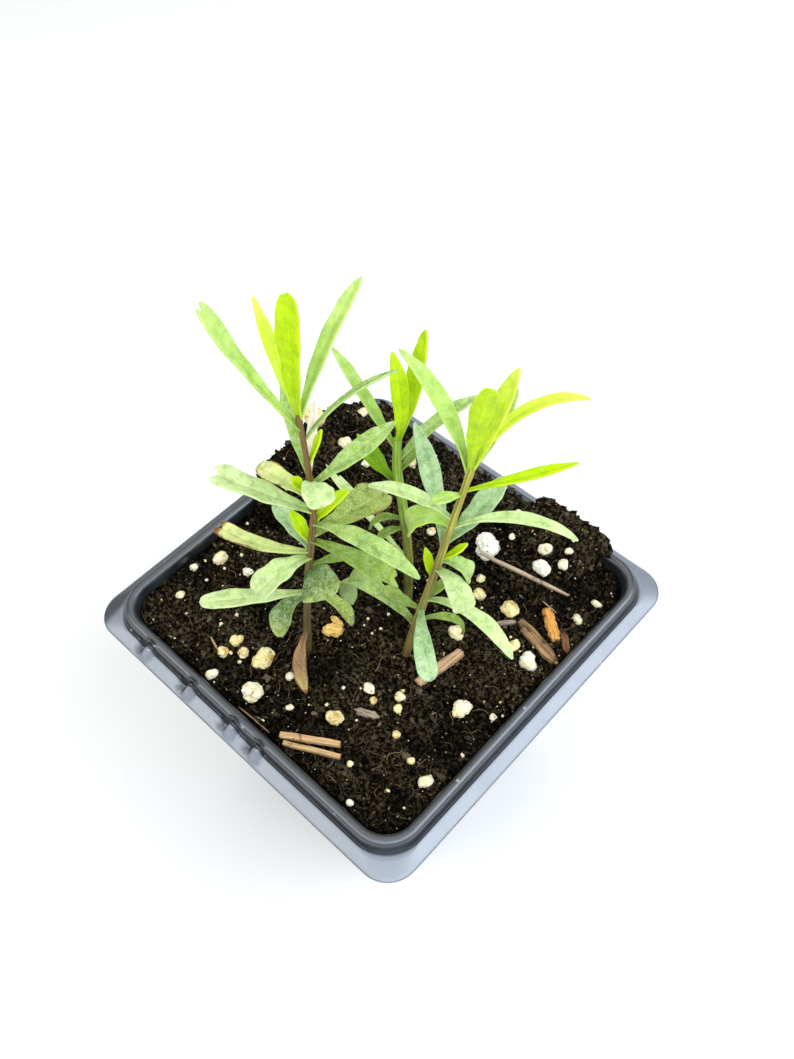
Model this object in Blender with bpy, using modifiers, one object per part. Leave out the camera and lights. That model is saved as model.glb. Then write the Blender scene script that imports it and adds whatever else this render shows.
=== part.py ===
"""Potted tarragon: a square nursery pot, peat soil with perlite and bark, and three leafy stems.

Units are metres with +Z up. The origin is the centre of the pot's foot, and the pot's sides run
along X and Y. Sizes in the tables are millimetres, and heights there count from the rim's crest.
"""
import math
from collections import namedtuple

import bmesh
import bpy
from mathutils import Matrix, Vector, noise

MM = 0.001

# Pot: thin formed sheet, a rounded bead at the rim and a sloping flange outside it
RIM_HEIGHT = 75.0
WALL = 0.8
FOOT_HALF = 27.5
FOOT_CORNER = 5.0
FOOT_ROUND = 1.6
MOUTH_HALF = 38.8
CORNER = 6.2
BEAD_DROP = 1.3
GROOVE_HALF = 41.2
GROOVE_DROP = 2.5
GROOVE_WIDTH = 0.4
GROOVE_SLOPE = 0.1
FLANGE_HALF = 44.5
FLANGE_DROP = 4.2
FLANGE_CORNER = 6.6
CORNER_STEPS = 5
DRAIN_RADIUS = 3.5
DRAIN_REACH = 17.0
DRAIN_SIDES = 12

# Lugs: short raised tabs across the groove on one side of the rim
LUG_SIZE = (1.6, 3.2, 1.6)
LUG_PLACES = (-27.0, -13.5, -0.8, 6.5)
LUG_OVERHANG = 0.45
LUG_SUNK = 0.15
LUG_ROUND = 0.5

# Gap that two touching pieces keep, in a seat and beside the pot's wall
GAP = 0.3
SEAT_GAP = 0.35
WALL_GAP = 0.4

# Soil
SOIL_DROP = 3.6
SOIL_CELLS = 26
SOIL_EDGE = 5.0
SOIL_SKIRT = 7.5
# Where each heap swells up along X and Y, and where it falls off again. The right one has a low
# foot before it, and the left one a knoll on it: x, y, reach and rise.
HEAP_RISE = 11.0
HEAP_RIGHT = ((-34, -20), (8, 14), (27, 32), (12, 38))
HEAP_RIGHT_FOOT = 0.38
HEAP_LEFT = ((-3, 4), (24, 37), (14, 37))
HEAP_LEFT_RISE = 1.1
HEAP_LEFT_FALL = 0.6
KNOLL = (-36.5, 17.0, 5.5, 3.8)
CLOD_HEIGHT = 0.9
CLOD_SIZE = 6.0
CRUMB_HEIGHT = 0.45
CRUMB_SIZE = 2.6
STEM_DEPTH = 16.0

# Perlite: x, y, then width, depth and height of each larger grain
GRAINS = (
    (9.9, 23.7, 6.3, 5.5, 4.8), (21.4, 29.0, 2.8, 2.8, 3.4), (23.1, 25.7, 4.4, 3.2, 3.0),
    (26.6, 28.4, 2.6, 2.6, 2.2), (33.2, 9.6, 4.2, 4.0, 3.4), (28.6, 10.2, 2.4, 3.6, 2.4),
    (22.8, 16.2, 4.0, 3.7, 3.0), (15.2, 15.0, 2.9, 2.7, 2.4), (11.3, 33.2, 2.9, 1.8, 1.7),
    (34.5, 24.4, 2.6, 2.3, 2.0), (29.9, -8.1, 3.6, 4.6, 2.8), (13.1, -17.2, 2.9, 2.2, 2.0),
    (12.2, -26.3, 3.6, 3.2, 2.8), (34.8, -24.0, 2.6, 3.4, 2.6), (-7.9, -27.1, 4.0, 5.4, 4.0),
    (-4.2, -33.6, 4.8, 4.4, 3.6), (-15.8, -27.6, 2.5, 3.0, 2.4), (-12.4, -28.8, 2.5, 2.5, 2.0),
    (-34.2, -16.3, 2.8, 3.8, 3.0), (-26.9, -14.5, 2.8, 2.2, 2.0), (-30.4, 20.7, 3.8, 3.2, 2.6),
    (-19.0, 30.9, 2.7, 2.7, 2.4), (-37.0, 18.6, 5.2, 5.0, 5.6), (17.9, 4.4, 3.6, 3.2, 2.4),
)
GRAIN_SUNK = 0.2
GRAIN_LUMP = 0.22
FINE_GRAIN = 3.5

Chip = namedtuple("Chip", "name start end width height lift")

# Bark and wood on the soil: ends as x, y, then width, height and how far the middle sits up
CHIPS = (
    Chip("split_stick_upper", (7.2, -36.4), (17.6, -30.0), 1.5, 1.3, 0.3),
    Chip("split_stick_lower", (9.0, -37.2), (19.2, -31.6), 1.2, 1.3, 0.3),
    Chip("twig", (10.8, 20.2), (30.9, 25.0), 0.9, 1.0, 0.5),
    Chip("bark_chip", (26.1, 15.4), (37.2, 12.9), 2.5, 1.8, 0.4),
    Chip("orange_bark", (28.9, 20.3), (34.6, 16.7), 2.2, 1.6, 0.4),
    Chip("wood_chip", (19.6, -9.6), (21.6, 1.6), 2.2, 1.4, 0.3),
    Chip("bark_sliver", (13.9, -22.6), (18.9, -20.3), 1.5, 0.9, 0.2),
)

# A chip's bevelled edges, tapered ends, sideways wander and rough faces, as shares of its size
CHIP_BEVEL = 0.28
CHIP_TAPER = 0.35
CHIP_WANDER = 0.12
CHIP_ROUGH = 0.15

# Leaves: blade thickness, strips along and across, and how far the edges fold up and wave
BLADE = 0.65
LEAF_ROWS = 7
PATH_STEPS = 24
WIDE_LEAF = 5.3
LEAF_FOLD = 0.22
LEAF_WAVE = 0.10

Leaf = namedtuple("Leaf", "height heading sweep rise end_rise length width roll form")

# Where each stem runs: x, y, height over the rim, radius
STEMS = {
    "left": ((-3.0, -19.0, -3.6, 0.95), (-2.4, -18.2, 8.0, 0.9), (-1.0, -16.7, 25.0, 0.8),
             (1.0, -14.8, 42.0, 0.7), (1.4, -14.5, 56.0, 0.6), (1.2, -14.6, 68.5, 0.55)),
    "middle": ((4.0, 4.5, -3.6, 0.95), (4.3, 4.9, 11.0, 0.95), (4.1, 4.7, 20.0, 0.9),
               (3.7, 4.3, 31.0, 0.9), (3.2, 3.9, 40.0, 0.85), (3.5, 4.1, 48.5, 0.7)),
    "right": ((13.0, -6.0, -3.6, 0.9), (14.8, -4.2, 10.0, 0.85), (17.5, -1.5, 27.5, 0.75),
              (19.8, 0.8, 44.0, 0.65), (21.6, 2.6, 56.5, 0.6)),
}

# Leaves of each stem, from the top down. Height is the node's, heading is degrees from +X,
# sweep is how far the heading turns by the tip, and rise and end_rise are degrees over level.
LEAVES = {
    "left": (
        Leaf(65.0, -138, 0, 60, 72, 28.0, 3.3, -15, "forked"),
        Leaf(67.0, 171, -9, 66, 60, 20.5, 2.2, 0, "lance"),
        Leaf(67.5, 105, 0, 92, 78, 23.5, 4.0, 10, "spoon"),
        Leaf(67.0, 99, 0, 58, 21, 24.0, 3.3, -15, "lance"),
        Leaf(53.0, 159, -12, 49, 53, 17.0, 2.3, 0, "lance"),
        Leaf(62.0, 68, -6, 54, 5, 19.5, 1.9, -20, "lance"),
        Leaf(56.0, 72, 0, 64, 69, 8.0, 1.6, 0, "lance"),
        Leaf(44.0, -152, 0, 16, 18, 18.5, 5.2, 0, "forked"),
        Leaf(47.5, -167, -6, 24, -6, 11.5, 3.9, 0, "spoon"),
        Leaf(48.5, -151, -8, 51, 43, 5.0, 2.2, 0, "lobed"),
        Leaf(52.0, -25, 0, 50, -45, 6.8, 6.0, -20, "spoon"),
        Leaf(40.0, 70, -4, 59, 18, 9.5, 2.8, 0, "lance"),
        Leaf(32.5, 178, -16, 28, 14, 11.5, 3.6, 0, "spoon"),
        Leaf(34.0, 173, 5, 61, 38, 7.5, 2.5, 0, "lance"),
        Leaf(32.0, -138, -36, 1, 0, 19.0, 3.6, 0, "forked"),
        Leaf(30.5, -108, 4, 9, -43, 12.5, 6.3, 0, "forked"),
        Leaf(18.5, -124, -13, 12, -9, 21.0, 4.2, 0, "spoon"),
        Leaf(17.0, -130, 85, 0, -75, 11.5, 4.6, 0, "lance"),
        Leaf(26.5, -10, -20, 25, -28, 8.0, 8.8, 32, "spoon"),
        Leaf(37.5, 69, 19, 10, -7, 17.0, 7.2, 0, "lobed"),
        Leaf(40.5, 10, -6, 27, -16, 23.5, 4.0, 0, "lance"),
        Leaf(35.5, 14, 4, 12, -38, 18.5, 4.8, 0, "lobed"),
        Leaf(27.5, 45, 3, 29, -4, 11.5, 2.2, 0, "lance"),
        Leaf(51.0, 68, 16, 24, 9, 18.0, 4.0, 0, "lance"),
        Leaf(19.0, 29, -23, 9, -94, 13.5, 3.0, 0, "lance"),
        Leaf(53.0, 110, 0, 72, 66, 14.5, 1.8, 0, "lance"),
        Leaf(4.5, -75, 55, -30, -12, 13.5, 2.9, 0, "lance"),
    ),
    "middle": (
        Leaf(45.0, -161, 0, 66, 60, 24.0, 2.8, -10, "lance"),
        Leaf(47.0, 167, 0, 106, 73, 22.5, 3.4, 0, "lance"),
        Leaf(47.0, 84, -6, 67, 80, 24.0, 3.9, 10, "lance"),
        Leaf(38.5, 75, 0, 51, 29, 8.0, 2.0, 0, "lance"),
        Leaf(35.5, -171, -17, 25, 42, 12.5, 4.2, 0, "lobed"),
        Leaf(42.0, 78, -8, 43, 1, 19.5, 3.2, 0, "lance"),
        Leaf(10.5, 179, -14, 23, -1, 29.0, 2.4, 0, "lobed"),
        Leaf(24.5, -156, 19, 17, -86, 10.0, 2.2, 0, "lance"),
        Leaf(22.0, -130, 7, 10, -62, 7.0, 2.2, 0, "lance"),
    ),
    "right": (
        Leaf(54.0, 171, 12, 79, 23, 25.0, 3.3, 0, "lance"),
        Leaf(55.0, -18, 0, 86, 73, 24.0, 3.7, -25, "spoon"),
        Leaf(55.0, 61, 0, 71, 72, 22.5, 4.0, 15, "lance"),
        Leaf(54.5, 84, 14, 46, 39, 16.0, 2.3, 0, "lance"),
        Leaf(54.5, 84, -32, 69, -27, 26.0, 2.4, 0, "lance"),
        Leaf(50.5, 36, 13, 26, 15, 19.5, 2.3, 0, "lance"),
        Leaf(36.0, 70, 15, 32, 37, 16.0, 4.8, 0, "lance"),
        Leaf(40.0, 44, -16, 38, -41, 24.0, 2.6, 0, "lance"),
        Leaf(42.5, -162, 11, 41, -14, 16.5, 3.0, 0, "lance"),
        Leaf(34.0, 142, 21, 63, 47, 24.0, 3.7, 0, "lance"),
        Leaf(49.5, -116, 5, 22, -3, 5.5, 2.6, 0, "spoon"),
        Leaf(41.0, -171, 18, 19, -100, 13.0, 4.9, -30, "spoon"),
        Leaf(24.0, 156, 0, 73, 60, 7.5, 1.9, 0, "lance"),
        Leaf(30.5, 38, 15, 40, 48, 7.0, 1.9, 0, "lance"),
        Leaf(28.0, 0, -20, 10, -80, 10.5, 5.1, 0, "spoon"),
        Leaf(17.5, 70, 0, 40, 20, 6.0, 2.3, 0, "lance"),
        Leaf(30.5, 35, -16, 21, -96, 8.5, 4.1, 0, "spoon"),
        Leaf(17.5, 22, -33, 30, -43, 22.0, 3.4, 0, "lance"),
        Leaf(14.5, -52, 22, 1, -32, 15.0, 4.2, 0, "spoon"),
        Leaf(9.5, 49, -7, 36, -110, 15.0, 2.1, 0, "lance"),
        Leaf(14.0, -160, -13, 7, 15, 8.5, 2.8, 0, "spoon"),
        Leaf(8.0, -160, -50, 66, -124, 32.5, 5.0, -15, "spoon"),
    ),
}

# Half-width of each leaf form along its length, as shares of the length and of the full width
FORMS = {
    "lance": ((0.0, 0.34), (0.15, 0.44), (0.4, 0.86), (0.6, 1.0), (0.8, 0.8), (0.93, 0.42), (1.0, 0.12)),
    "spoon": ((0.0, 0.34), (0.18, 0.42), (0.45, 0.8), (0.7, 1.0), (0.87, 0.9), (0.96, 0.6), (1.0, 0.3)),
    "forked": ((0.0, 0.34), (0.2, 0.46), (0.5, 0.82), (0.75, 1.0), (0.9, 0.95), (1.0, 0.75)),
    "lobed": ((0.0, 0.3), (0.25, 0.45), (0.5, 0.8), (0.72, 1.0), (0.86, 0.7), (1.0, 0.5)),
}
# How far each lengthwise line of a blade stops short of the tip, from the edge to the midrib
TIP_CUTS = {
    "lance": (0.0, 0.0, 0.0),
    "spoon": (0.05, 0.01, 0.0),
    "forked": (0.02, 0.0, 0.1),
    "lobed": (0.16, 0.2, 0.0),
}


def material(name, colour, roughness, metallic=0.0):
    """One plain finish."""
    finish = bpy.data.materials.new(name)
    finish.use_nodes = True
    shader = finish.node_tree.nodes["Principled BSDF"]
    shader.inputs["Base Color"].default_value = (*colour, 1.0)
    shader.inputs["Roughness"].default_value = roughness
    shader.inputs["Metallic"].default_value = metallic
    return finish


def add_object(name, shape, collection, finish=None):
    """Put a bmesh, or a mesh, in the scene under a name."""
    mesh = shape
    if isinstance(shape, bmesh.types.BMesh):
        mesh = bpy.data.meshes.new(name)
        shape.to_mesh(mesh)
        shape.free()
    thing = bpy.data.objects.new(name, mesh)
    collection.objects.link(thing)
    if finish:
        mesh.materials.append(finish)
    return thing


def apply_modifiers(thing):
    """Bake a thing's modifiers into its mesh."""
    graph = bpy.context.evaluated_depsgraph_get()
    mesh = bpy.data.meshes.new_from_object(thing.evaluated_get(graph))
    thing.modifiers.clear()
    thing.data = mesh


def boolean(thing, others, operation, solver="EXACT"):
    """Join or cut a thing with a whole collection of others, which are then removed."""
    step = thing.modifiers.new(operation, "BOOLEAN")
    step.operation = operation
    step.operand_type = "COLLECTION"
    step.collection = others
    step.solver = solver
    apply_modifiers(thing)
    for other in list(others.objects):
        bpy.data.objects.remove(other)


def new_collection(name):
    """A collection linked to the scene."""
    group = bpy.data.collections.new(name)
    bpy.context.scene.collection.children.link(group)
    return group


def blend(points, share):
    """Read a smooth curve through (share, value) points."""
    for (s0, v0), (s1, v1) in zip(points, points[1:]):
        if share <= s1:
            part = (share - s0) / (s1 - s0)
            return v0 + (v1 - v0) * part * part * (3 - 2 * part)
    return points[-1][1]


def rounded_square(half, corner, height):
    """Points of a rounded square outline, anticlockwise seen from above."""
    points = []
    for quarter in range(4):
        turn = math.radians(90 * quarter)
        centre = Vector((half - corner, half - corner, 0.0))
        for step in range(CORNER_STEPS):
            angle = math.radians(90) * step / (CORNER_STEPS - 1)
            point = centre + corner * Vector((math.cos(angle), math.sin(angle), 0.0))
            point.rotate(Matrix.Rotation(turn, 3, "Z"))
            points.append(Vector((point.x, point.y, height)) * MM)
    return points


def ring_edges(shape, points):
    """A closed ring of edges through some points."""
    verts = [shape.verts.new(point) for point in points]
    return [shape.edges.new((verts[i - 1], verts[i])) for i in range(len(verts))]


def pot_rings():
    """The sheet's upper face as rounded squares, from the foot to the flange's edge."""
    floor = WALL
    lip = RIM_HEIGHT - BEAD_DROP
    rings = [(FOOT_HALF - FOOT_ROUND, FOOT_CORNER, floor),
             (FOOT_HALF, FOOT_CORNER + FOOT_ROUND, floor + FOOT_ROUND),
             (MOUTH_HALF, CORNER, lip)]
    half_bead = 0.5 * (GROOVE_HALF - MOUTH_HALF)
    middle = MOUTH_HALF + half_bead
    for angle in (45, 90, 135):
        turn = math.radians(angle)
        rings.append((middle - half_bead * math.cos(turn), CORNER + half_bead * (1 - math.cos(turn)),
                      lip + BEAD_DROP * math.sin(turn)))
    wide = CORNER + 2 * half_bead
    rings.append((GROOVE_HALF, wide, RIM_HEIGHT - GROOVE_DROP))
    rings.append((GROOVE_HALF + GROOVE_WIDTH, wide, RIM_HEIGHT - GROOVE_DROP - GROOVE_SLOPE))
    rings.append((FLANGE_HALF, FLANGE_CORNER, RIM_HEIGHT - FLANGE_DROP))
    return rings


def make_pot(parts, finish):
    """The pot's sheet with its wall thickness, drain holes and rim lugs."""
    shape = bmesh.new()
    loops = [ring_edges(shape, rounded_square(*ring)) for ring in pot_rings()]
    bmesh.ops.contextual_create(shape, geom=loops[0])
    for inner, outer in zip(loops, loops[1:]):
        bmesh.ops.bridge_loops(shape, edges=inner + outer)
    bmesh.ops.recalc_face_normals(shape, faces=shape.faces)
    floor = min(shape.faces, key=lambda face: face.calc_center_median().z)
    if floor.normal.z < 0:
        bmesh.ops.reverse_faces(shape, faces=shape.faces)
    pot = add_object("pot", shape, parts, finish)
    wall = pot.modifiers.new("wall", "SOLIDIFY")
    wall.thickness = WALL * MM
    wall.offset = -1.0
    wall.use_even_offset = True
    apply_modifiers(pot)
    cutters = new_collection("drain_holes")
    for quarter in range(4):
        turn = math.radians(90 * quarter)
        hole = bmesh.new()
        place = Matrix.Translation((DRAIN_REACH * math.cos(turn) * MM, DRAIN_REACH * math.sin(turn) * MM, 0))
        bmesh.ops.create_cone(hole, cap_ends=True, segments=DRAIN_SIDES, radius1=DRAIN_RADIUS * MM,
                              radius2=DRAIN_RADIUS * MM, depth=6 * WALL * MM, matrix=place)
        add_object("drain", hole, cutters)
    boolean(pot, cutters, "DIFFERENCE")
    lugs = new_collection("rim_lugs")
    across, along, tall = LUG_SIZE
    for place in LUG_PLACES:
        lug = bmesh.new()
        where = Vector((place, -(GROOVE_HALF + LUG_OVERHANG * across), RIM_HEIGHT - GROOVE_DROP - LUG_SUNK)) * MM
        size = Matrix.Diagonal((along * MM, across * MM, tall * MM, 1.0))
        bmesh.ops.create_cube(lug, size=1.0, matrix=Matrix.Translation(where) @ size)
        upright = [edge for edge in lug.edges if abs(edge.verts[0].co.z - edge.verts[1].co.z) > 0.1 * MM]
        bmesh.ops.bevel(lug, geom=upright, offset=LUG_ROUND * MM, segments=2, profile=0.5, affect="EDGES")
        add_object("lug", lug, lugs)
    boolean(pot, lugs, "UNION")
    return pot


def smooth_step(low, high, value):
    """0 below low, 1 above high, and a smooth rise between."""
    share = min(max((value - low) / (high - low), 0.0), 1.0)
    return share * share * (3 - 2 * share)


def soil_height(x, y):
    """Height of the soil over the rim's crest, in millimetres: level by the near sides, and heaped
    along the far two sides, with clods and crumbs."""
    low, swell, fall, side = HEAP_RIGHT
    right = HEAP_RIGHT_FOOT * smooth_step(*low, x) + (1 - HEAP_RIGHT_FOOT) * smooth_step(*swell, x)
    right *= (1 - smooth_step(*fall, x)) * smooth_step(*side, y)
    swell, fall, side = HEAP_LEFT
    left = smooth_step(*swell, y) * (1 - HEAP_LEFT_FALL * smooth_step(*fall, y)) * smooth_step(*side, -x)
    height = -SOIL_DROP + HEAP_RISE * max(right, HEAP_LEFT_RISE * left)
    knoll_x, knoll_y, reach, rise = KNOLL
    height += rise * math.exp(-((x - knoll_x) ** 2 + (y - knoll_y) ** 2) / reach ** 2)
    height += CLOD_HEIGHT * noise.noise(Vector((x / CLOD_SIZE, y / CLOD_SIZE, 1.5)))
    height += CRUMB_HEIGHT * noise.noise(Vector((x / CRUMB_SIZE, y / CRUMB_SIZE, 7.5)))
    return height


def square_reach(x, y, half, corner):
    """How much nearer a rounded square's edge is than a sharp one's, in the direction of x, y."""
    across, along = sorted((abs(x), abs(y)))
    if along < 1e-9 or across / along <= (half - corner) / half:
        return 1.0
    slope = Vector((along, across)).normalized()
    centre = Vector((half - corner, half - corner))
    near = slope.dot(centre)
    reach = near + math.sqrt(near * near - centre.length_squared + corner * corner)
    return reach * slope.x / half


def inside_wall(height, margin):
    """Half-width and corner radius of the pot's inside at a height over the floor's underside,
    drawn in by a margin."""
    low = WALL + FOOT_ROUND
    share = min(max((height - low) / (RIM_HEIGHT - BEAD_DROP - low), 0.0), 1.0)
    half = FOOT_HALF + share * (MOUTH_HALF - FOOT_HALF)
    foot_corner = FOOT_CORNER + FOOT_ROUND
    corner = foot_corner + share * (CORNER - foot_corner)
    return half - margin, corner - margin


def make_soil(parts, finish):
    """The root ball: a heaped top over tapering sides that follow the pot's inside."""
    margin = WALL_GAP
    shape = bmesh.new()
    bmesh.ops.create_grid(shape, x_segments=SOIL_CELLS, y_segments=SOIL_CELLS, size=1.0)
    half, corner = inside_wall(RIM_HEIGHT - SOIL_EDGE, margin)
    for vert in shape.verts:
        reach = half * square_reach(vert.co.x, vert.co.y, half, corner)
        x, y = vert.co.x * reach, vert.co.y * reach
        vert.co = Vector((x, y, RIM_HEIGHT + soil_height(x, y))) * MM
    foot = WALL + GAP
    rings = ((RIM_HEIGHT - SOIL_SKIRT, margin), (foot + FOOT_ROUND, margin), (foot, margin + FOOT_ROUND))
    for height, inset in rings:
        rim = [edge for edge in shape.edges if edge.is_boundary]
        made = bmesh.ops.extrude_edge_only(shape, edges=rim)["geom"]
        half, corner = inside_wall(height, inset)
        for vert in (item for item in made if isinstance(item, bmesh.types.BMVert)):
            widest = max(abs(vert.co.x), abs(vert.co.y))
            x, y = vert.co.x / widest, vert.co.y / widest
            reach = half * square_reach(x, y, half, corner)
            vert.co = Vector((x * reach, y * reach, height)) * MM
    bmesh.ops.contextual_create(shape, geom=[edge for edge in shape.edges if edge.is_boundary])
    bmesh.ops.recalc_face_normals(shape, faces=shape.faces)
    return add_object("soil", shape, parts, finish)


def leaf_path(leaf, foot, share):
    """Place, forward direction and sideways direction at a share of a leaf's length."""
    place = foot.copy()
    step = leaf.length / PATH_STEPS
    for index in range(PATH_STEPS):
        part = (index + 0.5) / PATH_STEPS
        if part >= share:
            break
        place += forward(leaf, part) * step
    heading = math.radians(leaf.heading + leaf.sweep * share)
    return place, forward(leaf, share), Vector((-math.sin(heading), math.cos(heading), 0.0))


def forward(leaf, share):
    """A leaf's direction at a share of its length."""
    heading = math.radians(leaf.heading + leaf.sweep * share)
    rise = math.radians(leaf.rise + (leaf.end_rise - leaf.rise) * share)
    level = math.cos(rise)
    return Vector((level * math.cos(heading), level * math.sin(heading), math.sin(rise)))


def make_leaf(leaf, foot, collection):
    """One blade: a folded, waved strip with the form's outline, thickened."""
    wide = leaf.width > WIDE_LEAF or leaf.form in ("forked", "lobed")
    columns = 4 if wide else 2
    shape = bmesh.new()
    bmesh.ops.create_grid(shape, x_segments=columns, y_segments=LEAF_ROWS, size=1.0)
    cuts = TIP_CUTS[leaf.form]
    for vert in shape.verts:
        across = vert.co.x
        share = 0.5 * (vert.co.y + 1.0)
        cut = cuts[2 - round(abs(across) * 2)]
        share *= 1.0 - cut * smooth_step(0.55, 1.0, share)
        half = 0.5 * leaf.width * blend(FORMS[leaf.form], share)
        place, ahead, side = leaf_path(leaf, foot, share)
        turn = Matrix.Rotation(math.radians(leaf.roll), 3, ahead)
        side = turn @ side
        face = ahead.cross(side)
        fold = LEAF_FOLD * abs(across) * half
        wave = LEAF_WAVE * half * abs(across) * math.sin(9.0 * share + 2.0 * across + leaf.height)
        vert.co = (place + side * across * half + face * (fold + wave)) * MM
    bmesh.ops.triangulate(shape, faces=shape.faces, quad_method="FIXED")
    thing = add_object("blade", shape, collection)
    blade = thing.modifiers.new("blade", "SOLIDIFY")
    blade.thickness = BLADE * MM
    blade.offset = 0.0
    blade.use_even_offset = False
    apply_modifiers(thing)
    return thing


def stem_place(points, height):
    """Centre of a stem at a height over the rim."""
    for low, high in zip(points, points[1:]):
        if height <= high[2]:
            share = (height - low[2]) / (high[2] - low[2])
            return Vector(low[:3]).lerp(Vector(high[:3]), share)
    return Vector(points[-1][:3])


def make_tube(name, points, collection, sides=2):
    """A round stem through points of x, y, height over the rim and radius."""
    curve = bpy.data.curves.new(name, "CURVE")
    curve.dimensions = "3D"
    curve.bevel_depth = MM
    curve.bevel_resolution = sides
    curve.use_fill_caps = True
    line = curve.splines.new("POLY")
    line.points.add(len(points) - 1)
    for point, (x, y, height, radius) in zip(line.points, points):
        point.co = (x * MM, y * MM, (RIM_HEIGHT + height) * MM, 1.0)
        point.radius = radius
    rod = bpy.data.objects.new(name, curve)
    collection.objects.link(rod)
    graph = bpy.context.evaluated_depsgraph_get()
    mesh = bpy.data.meshes.new_from_object(rod.evaluated_get(graph))
    bpy.data.objects.remove(rod)
    shape = bmesh.new()
    shape.from_mesh(mesh)
    bmesh.ops.remove_doubles(shape, verts=shape.verts, dist=0.00001)
    bmesh.ops.recalc_face_normals(shape, faces=shape.faces)
    return add_object(name, shape, collection)


def stem_points(name):
    """A stem's line, from its foot in the soil to its top."""
    points = STEMS[name]
    x, y, height, radius = points[0]
    return ((x, y, height - STEM_DEPTH, radius),) + points


def make_leafy_stem(name, parts, finish):
    """A stem with all its leaves grown into it."""
    stem = make_tube("leafy_stem_" + name, stem_points(name), parts)
    stem.data.materials.append(finish)
    blades = new_collection("blades_" + name)
    for leaf in LEAVES[name]:
        foot = stem_place(STEMS[name], leaf.height) + Vector((0.0, 0.0, RIM_HEIGHT))
        make_leaf(leaf, foot, blades)
    boolean(stem, blades, "UNION", "MANIFOLD")
    return stem


def grow_out(thing, margin, collection):
    """A copy of a closed shape with its skin moved out by a margin, to cut its seat."""
    shape = bmesh.new()
    shape.from_mesh(thing.data)
    shape.normal_update()
    moved = [vert.co + vert.normal * margin * MM for vert in shape.verts]
    for vert, place in zip(shape.verts, moved):
        vert.co = place
    return add_object("seat", shape, collection)


def make_grain(name, size, place, parts, finish):
    """A lumpy grain of perlite."""
    shape = bmesh.new()
    fine = 2 if max(size) > FINE_GRAIN else 1
    bmesh.ops.create_icosphere(shape, subdivisions=fine, radius=0.5)
    for vert in shape.verts:
        lump = 1.0 + GRAIN_LUMP * noise.noise(vert.co * 3.1 + Vector(place))
        vert.co = Vector((vert.co.x * size[0], vert.co.y * size[1], vert.co.z * size[2])) * lump
        vert.co = (vert.co + Vector(place)) * MM
    return add_object(name, shape, parts, finish)


def make_chip(chip, parts, finish):
    """A split piece of wood or bark lying on the soil."""
    start = Vector((*chip.start, RIM_HEIGHT + soil_height(*chip.start) + chip.lift))
    end = Vector((*chip.end, RIM_HEIGHT + soil_height(*chip.end) + chip.lift))
    ahead = (end - start).normalized()
    side = Vector((-ahead.y, ahead.x, 0.0)).normalized()
    face = ahead.cross(side)
    shape = bmesh.new()
    bmesh.ops.create_cube(shape, size=1.0)
    long_edges = [edge for edge in shape.edges if abs(edge.verts[0].co.x - edge.verts[1].co.x) > 0.5]
    bmesh.ops.bevel(shape, geom=long_edges, offset=CHIP_BEVEL, segments=1, profile=0.5, affect="EDGES")
    long_edges = [edge for edge in shape.edges if abs(edge.verts[0].co.x - edge.verts[1].co.x) > 0.5]
    bmesh.ops.subdivide_edges(shape, edges=long_edges, cuts=3)
    for vert in shape.verts:
        along, across, up = vert.co
        thin = 1.0 - CHIP_TAPER * smooth_step(0.3, 0.5, abs(along))
        wander = CHIP_WANDER * noise.noise(Vector((along * 4.0, chip.width, 3.0)))
        place = start.lerp(end, along + 0.5) + side * (across * thin + wander) * chip.width
        rough = 1.0 + CHIP_ROUGH * noise.noise(vert.co * 5.0 + start)
        vert.co = (place + face * up * thin * rough * chip.height) * MM
    return add_object(chip.name, shape, parts, finish)


def make_litter(soil, parts, perlite, bark):
    """Perlite, bark and wood on the soil, each in a shallow seat of its own."""
    seats = new_collection("seats")
    for index, (x, y, width, depth, height) in enumerate(GRAINS, start=1):
        place = (x, y, RIM_HEIGHT + soil_height(x, y) + GRAIN_SUNK * height)
        grain = make_grain(f"perlite_{index:02d}", (width, depth, height), place, parts, perlite)
        grow_out(grain, SEAT_GAP, seats)
    for chip in CHIPS:
        grow_out(make_chip(chip, parts, bark), SEAT_GAP, seats)
    boolean(soil, seats, "DIFFERENCE")


def make_holes(soil):
    """Plain holes in the soil for the stems."""
    cutters = new_collection("stem_holes")
    for name in STEMS:
        points = stem_points(name)
        wider = [(x, y, height, radius + SEAT_GAP) for x, y, height, radius in points[:3]]
        x, y, height, radius = wider[0]
        make_tube("hole", [(x, y, height - GAP, radius)] + wider[1:], cutters)
    boolean(soil, cutters, "DIFFERENCE")


def main():
    """Build the whole plant in its pot."""
    for thing in list(bpy.data.objects):
        bpy.data.objects.remove(thing)
    parts = new_collection("potted_tarragon")
    pot_finish = material("black_plastic", (0.02, 0.022, 0.026), 0.42)
    soil_finish = material("peat_soil", (0.035, 0.026, 0.018), 0.95)
    leaf_finish = material("tarragon_leaf", (0.25, 0.42, 0.08), 0.55)
    make_pot(parts, pot_finish)
    soil = make_soil(parts, soil_finish)
    make_holes(soil)
    make_litter(soil, parts, material("perlite", (0.85, 0.8, 0.68), 0.9),
                material("bark", (0.35, 0.2, 0.1), 0.85))
    for name in STEMS:
        make_leafy_stem(name, parts, leaf_finish)


main()
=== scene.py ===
"""Potted tarragon dressed for display: nursery pot, peat, perlite, bark litter and three leafy stems.

Sizes are millimetres and heights count from the rim's crest, unless a name says otherwise. The pot's
sides run along X and Y, and its foot stands at the origin.
"""
import logging
import math
import random
from dataclasses import dataclass, field
from enum import Enum
from typing import Callable, Iterable, NamedTuple, Sequence

import bmesh
import bpy
from bpy.types import Material, Node, NodeSocket, NodeTree, Object, bpy_prop_collection
from mathutils import Matrix, Vector, noise


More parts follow.
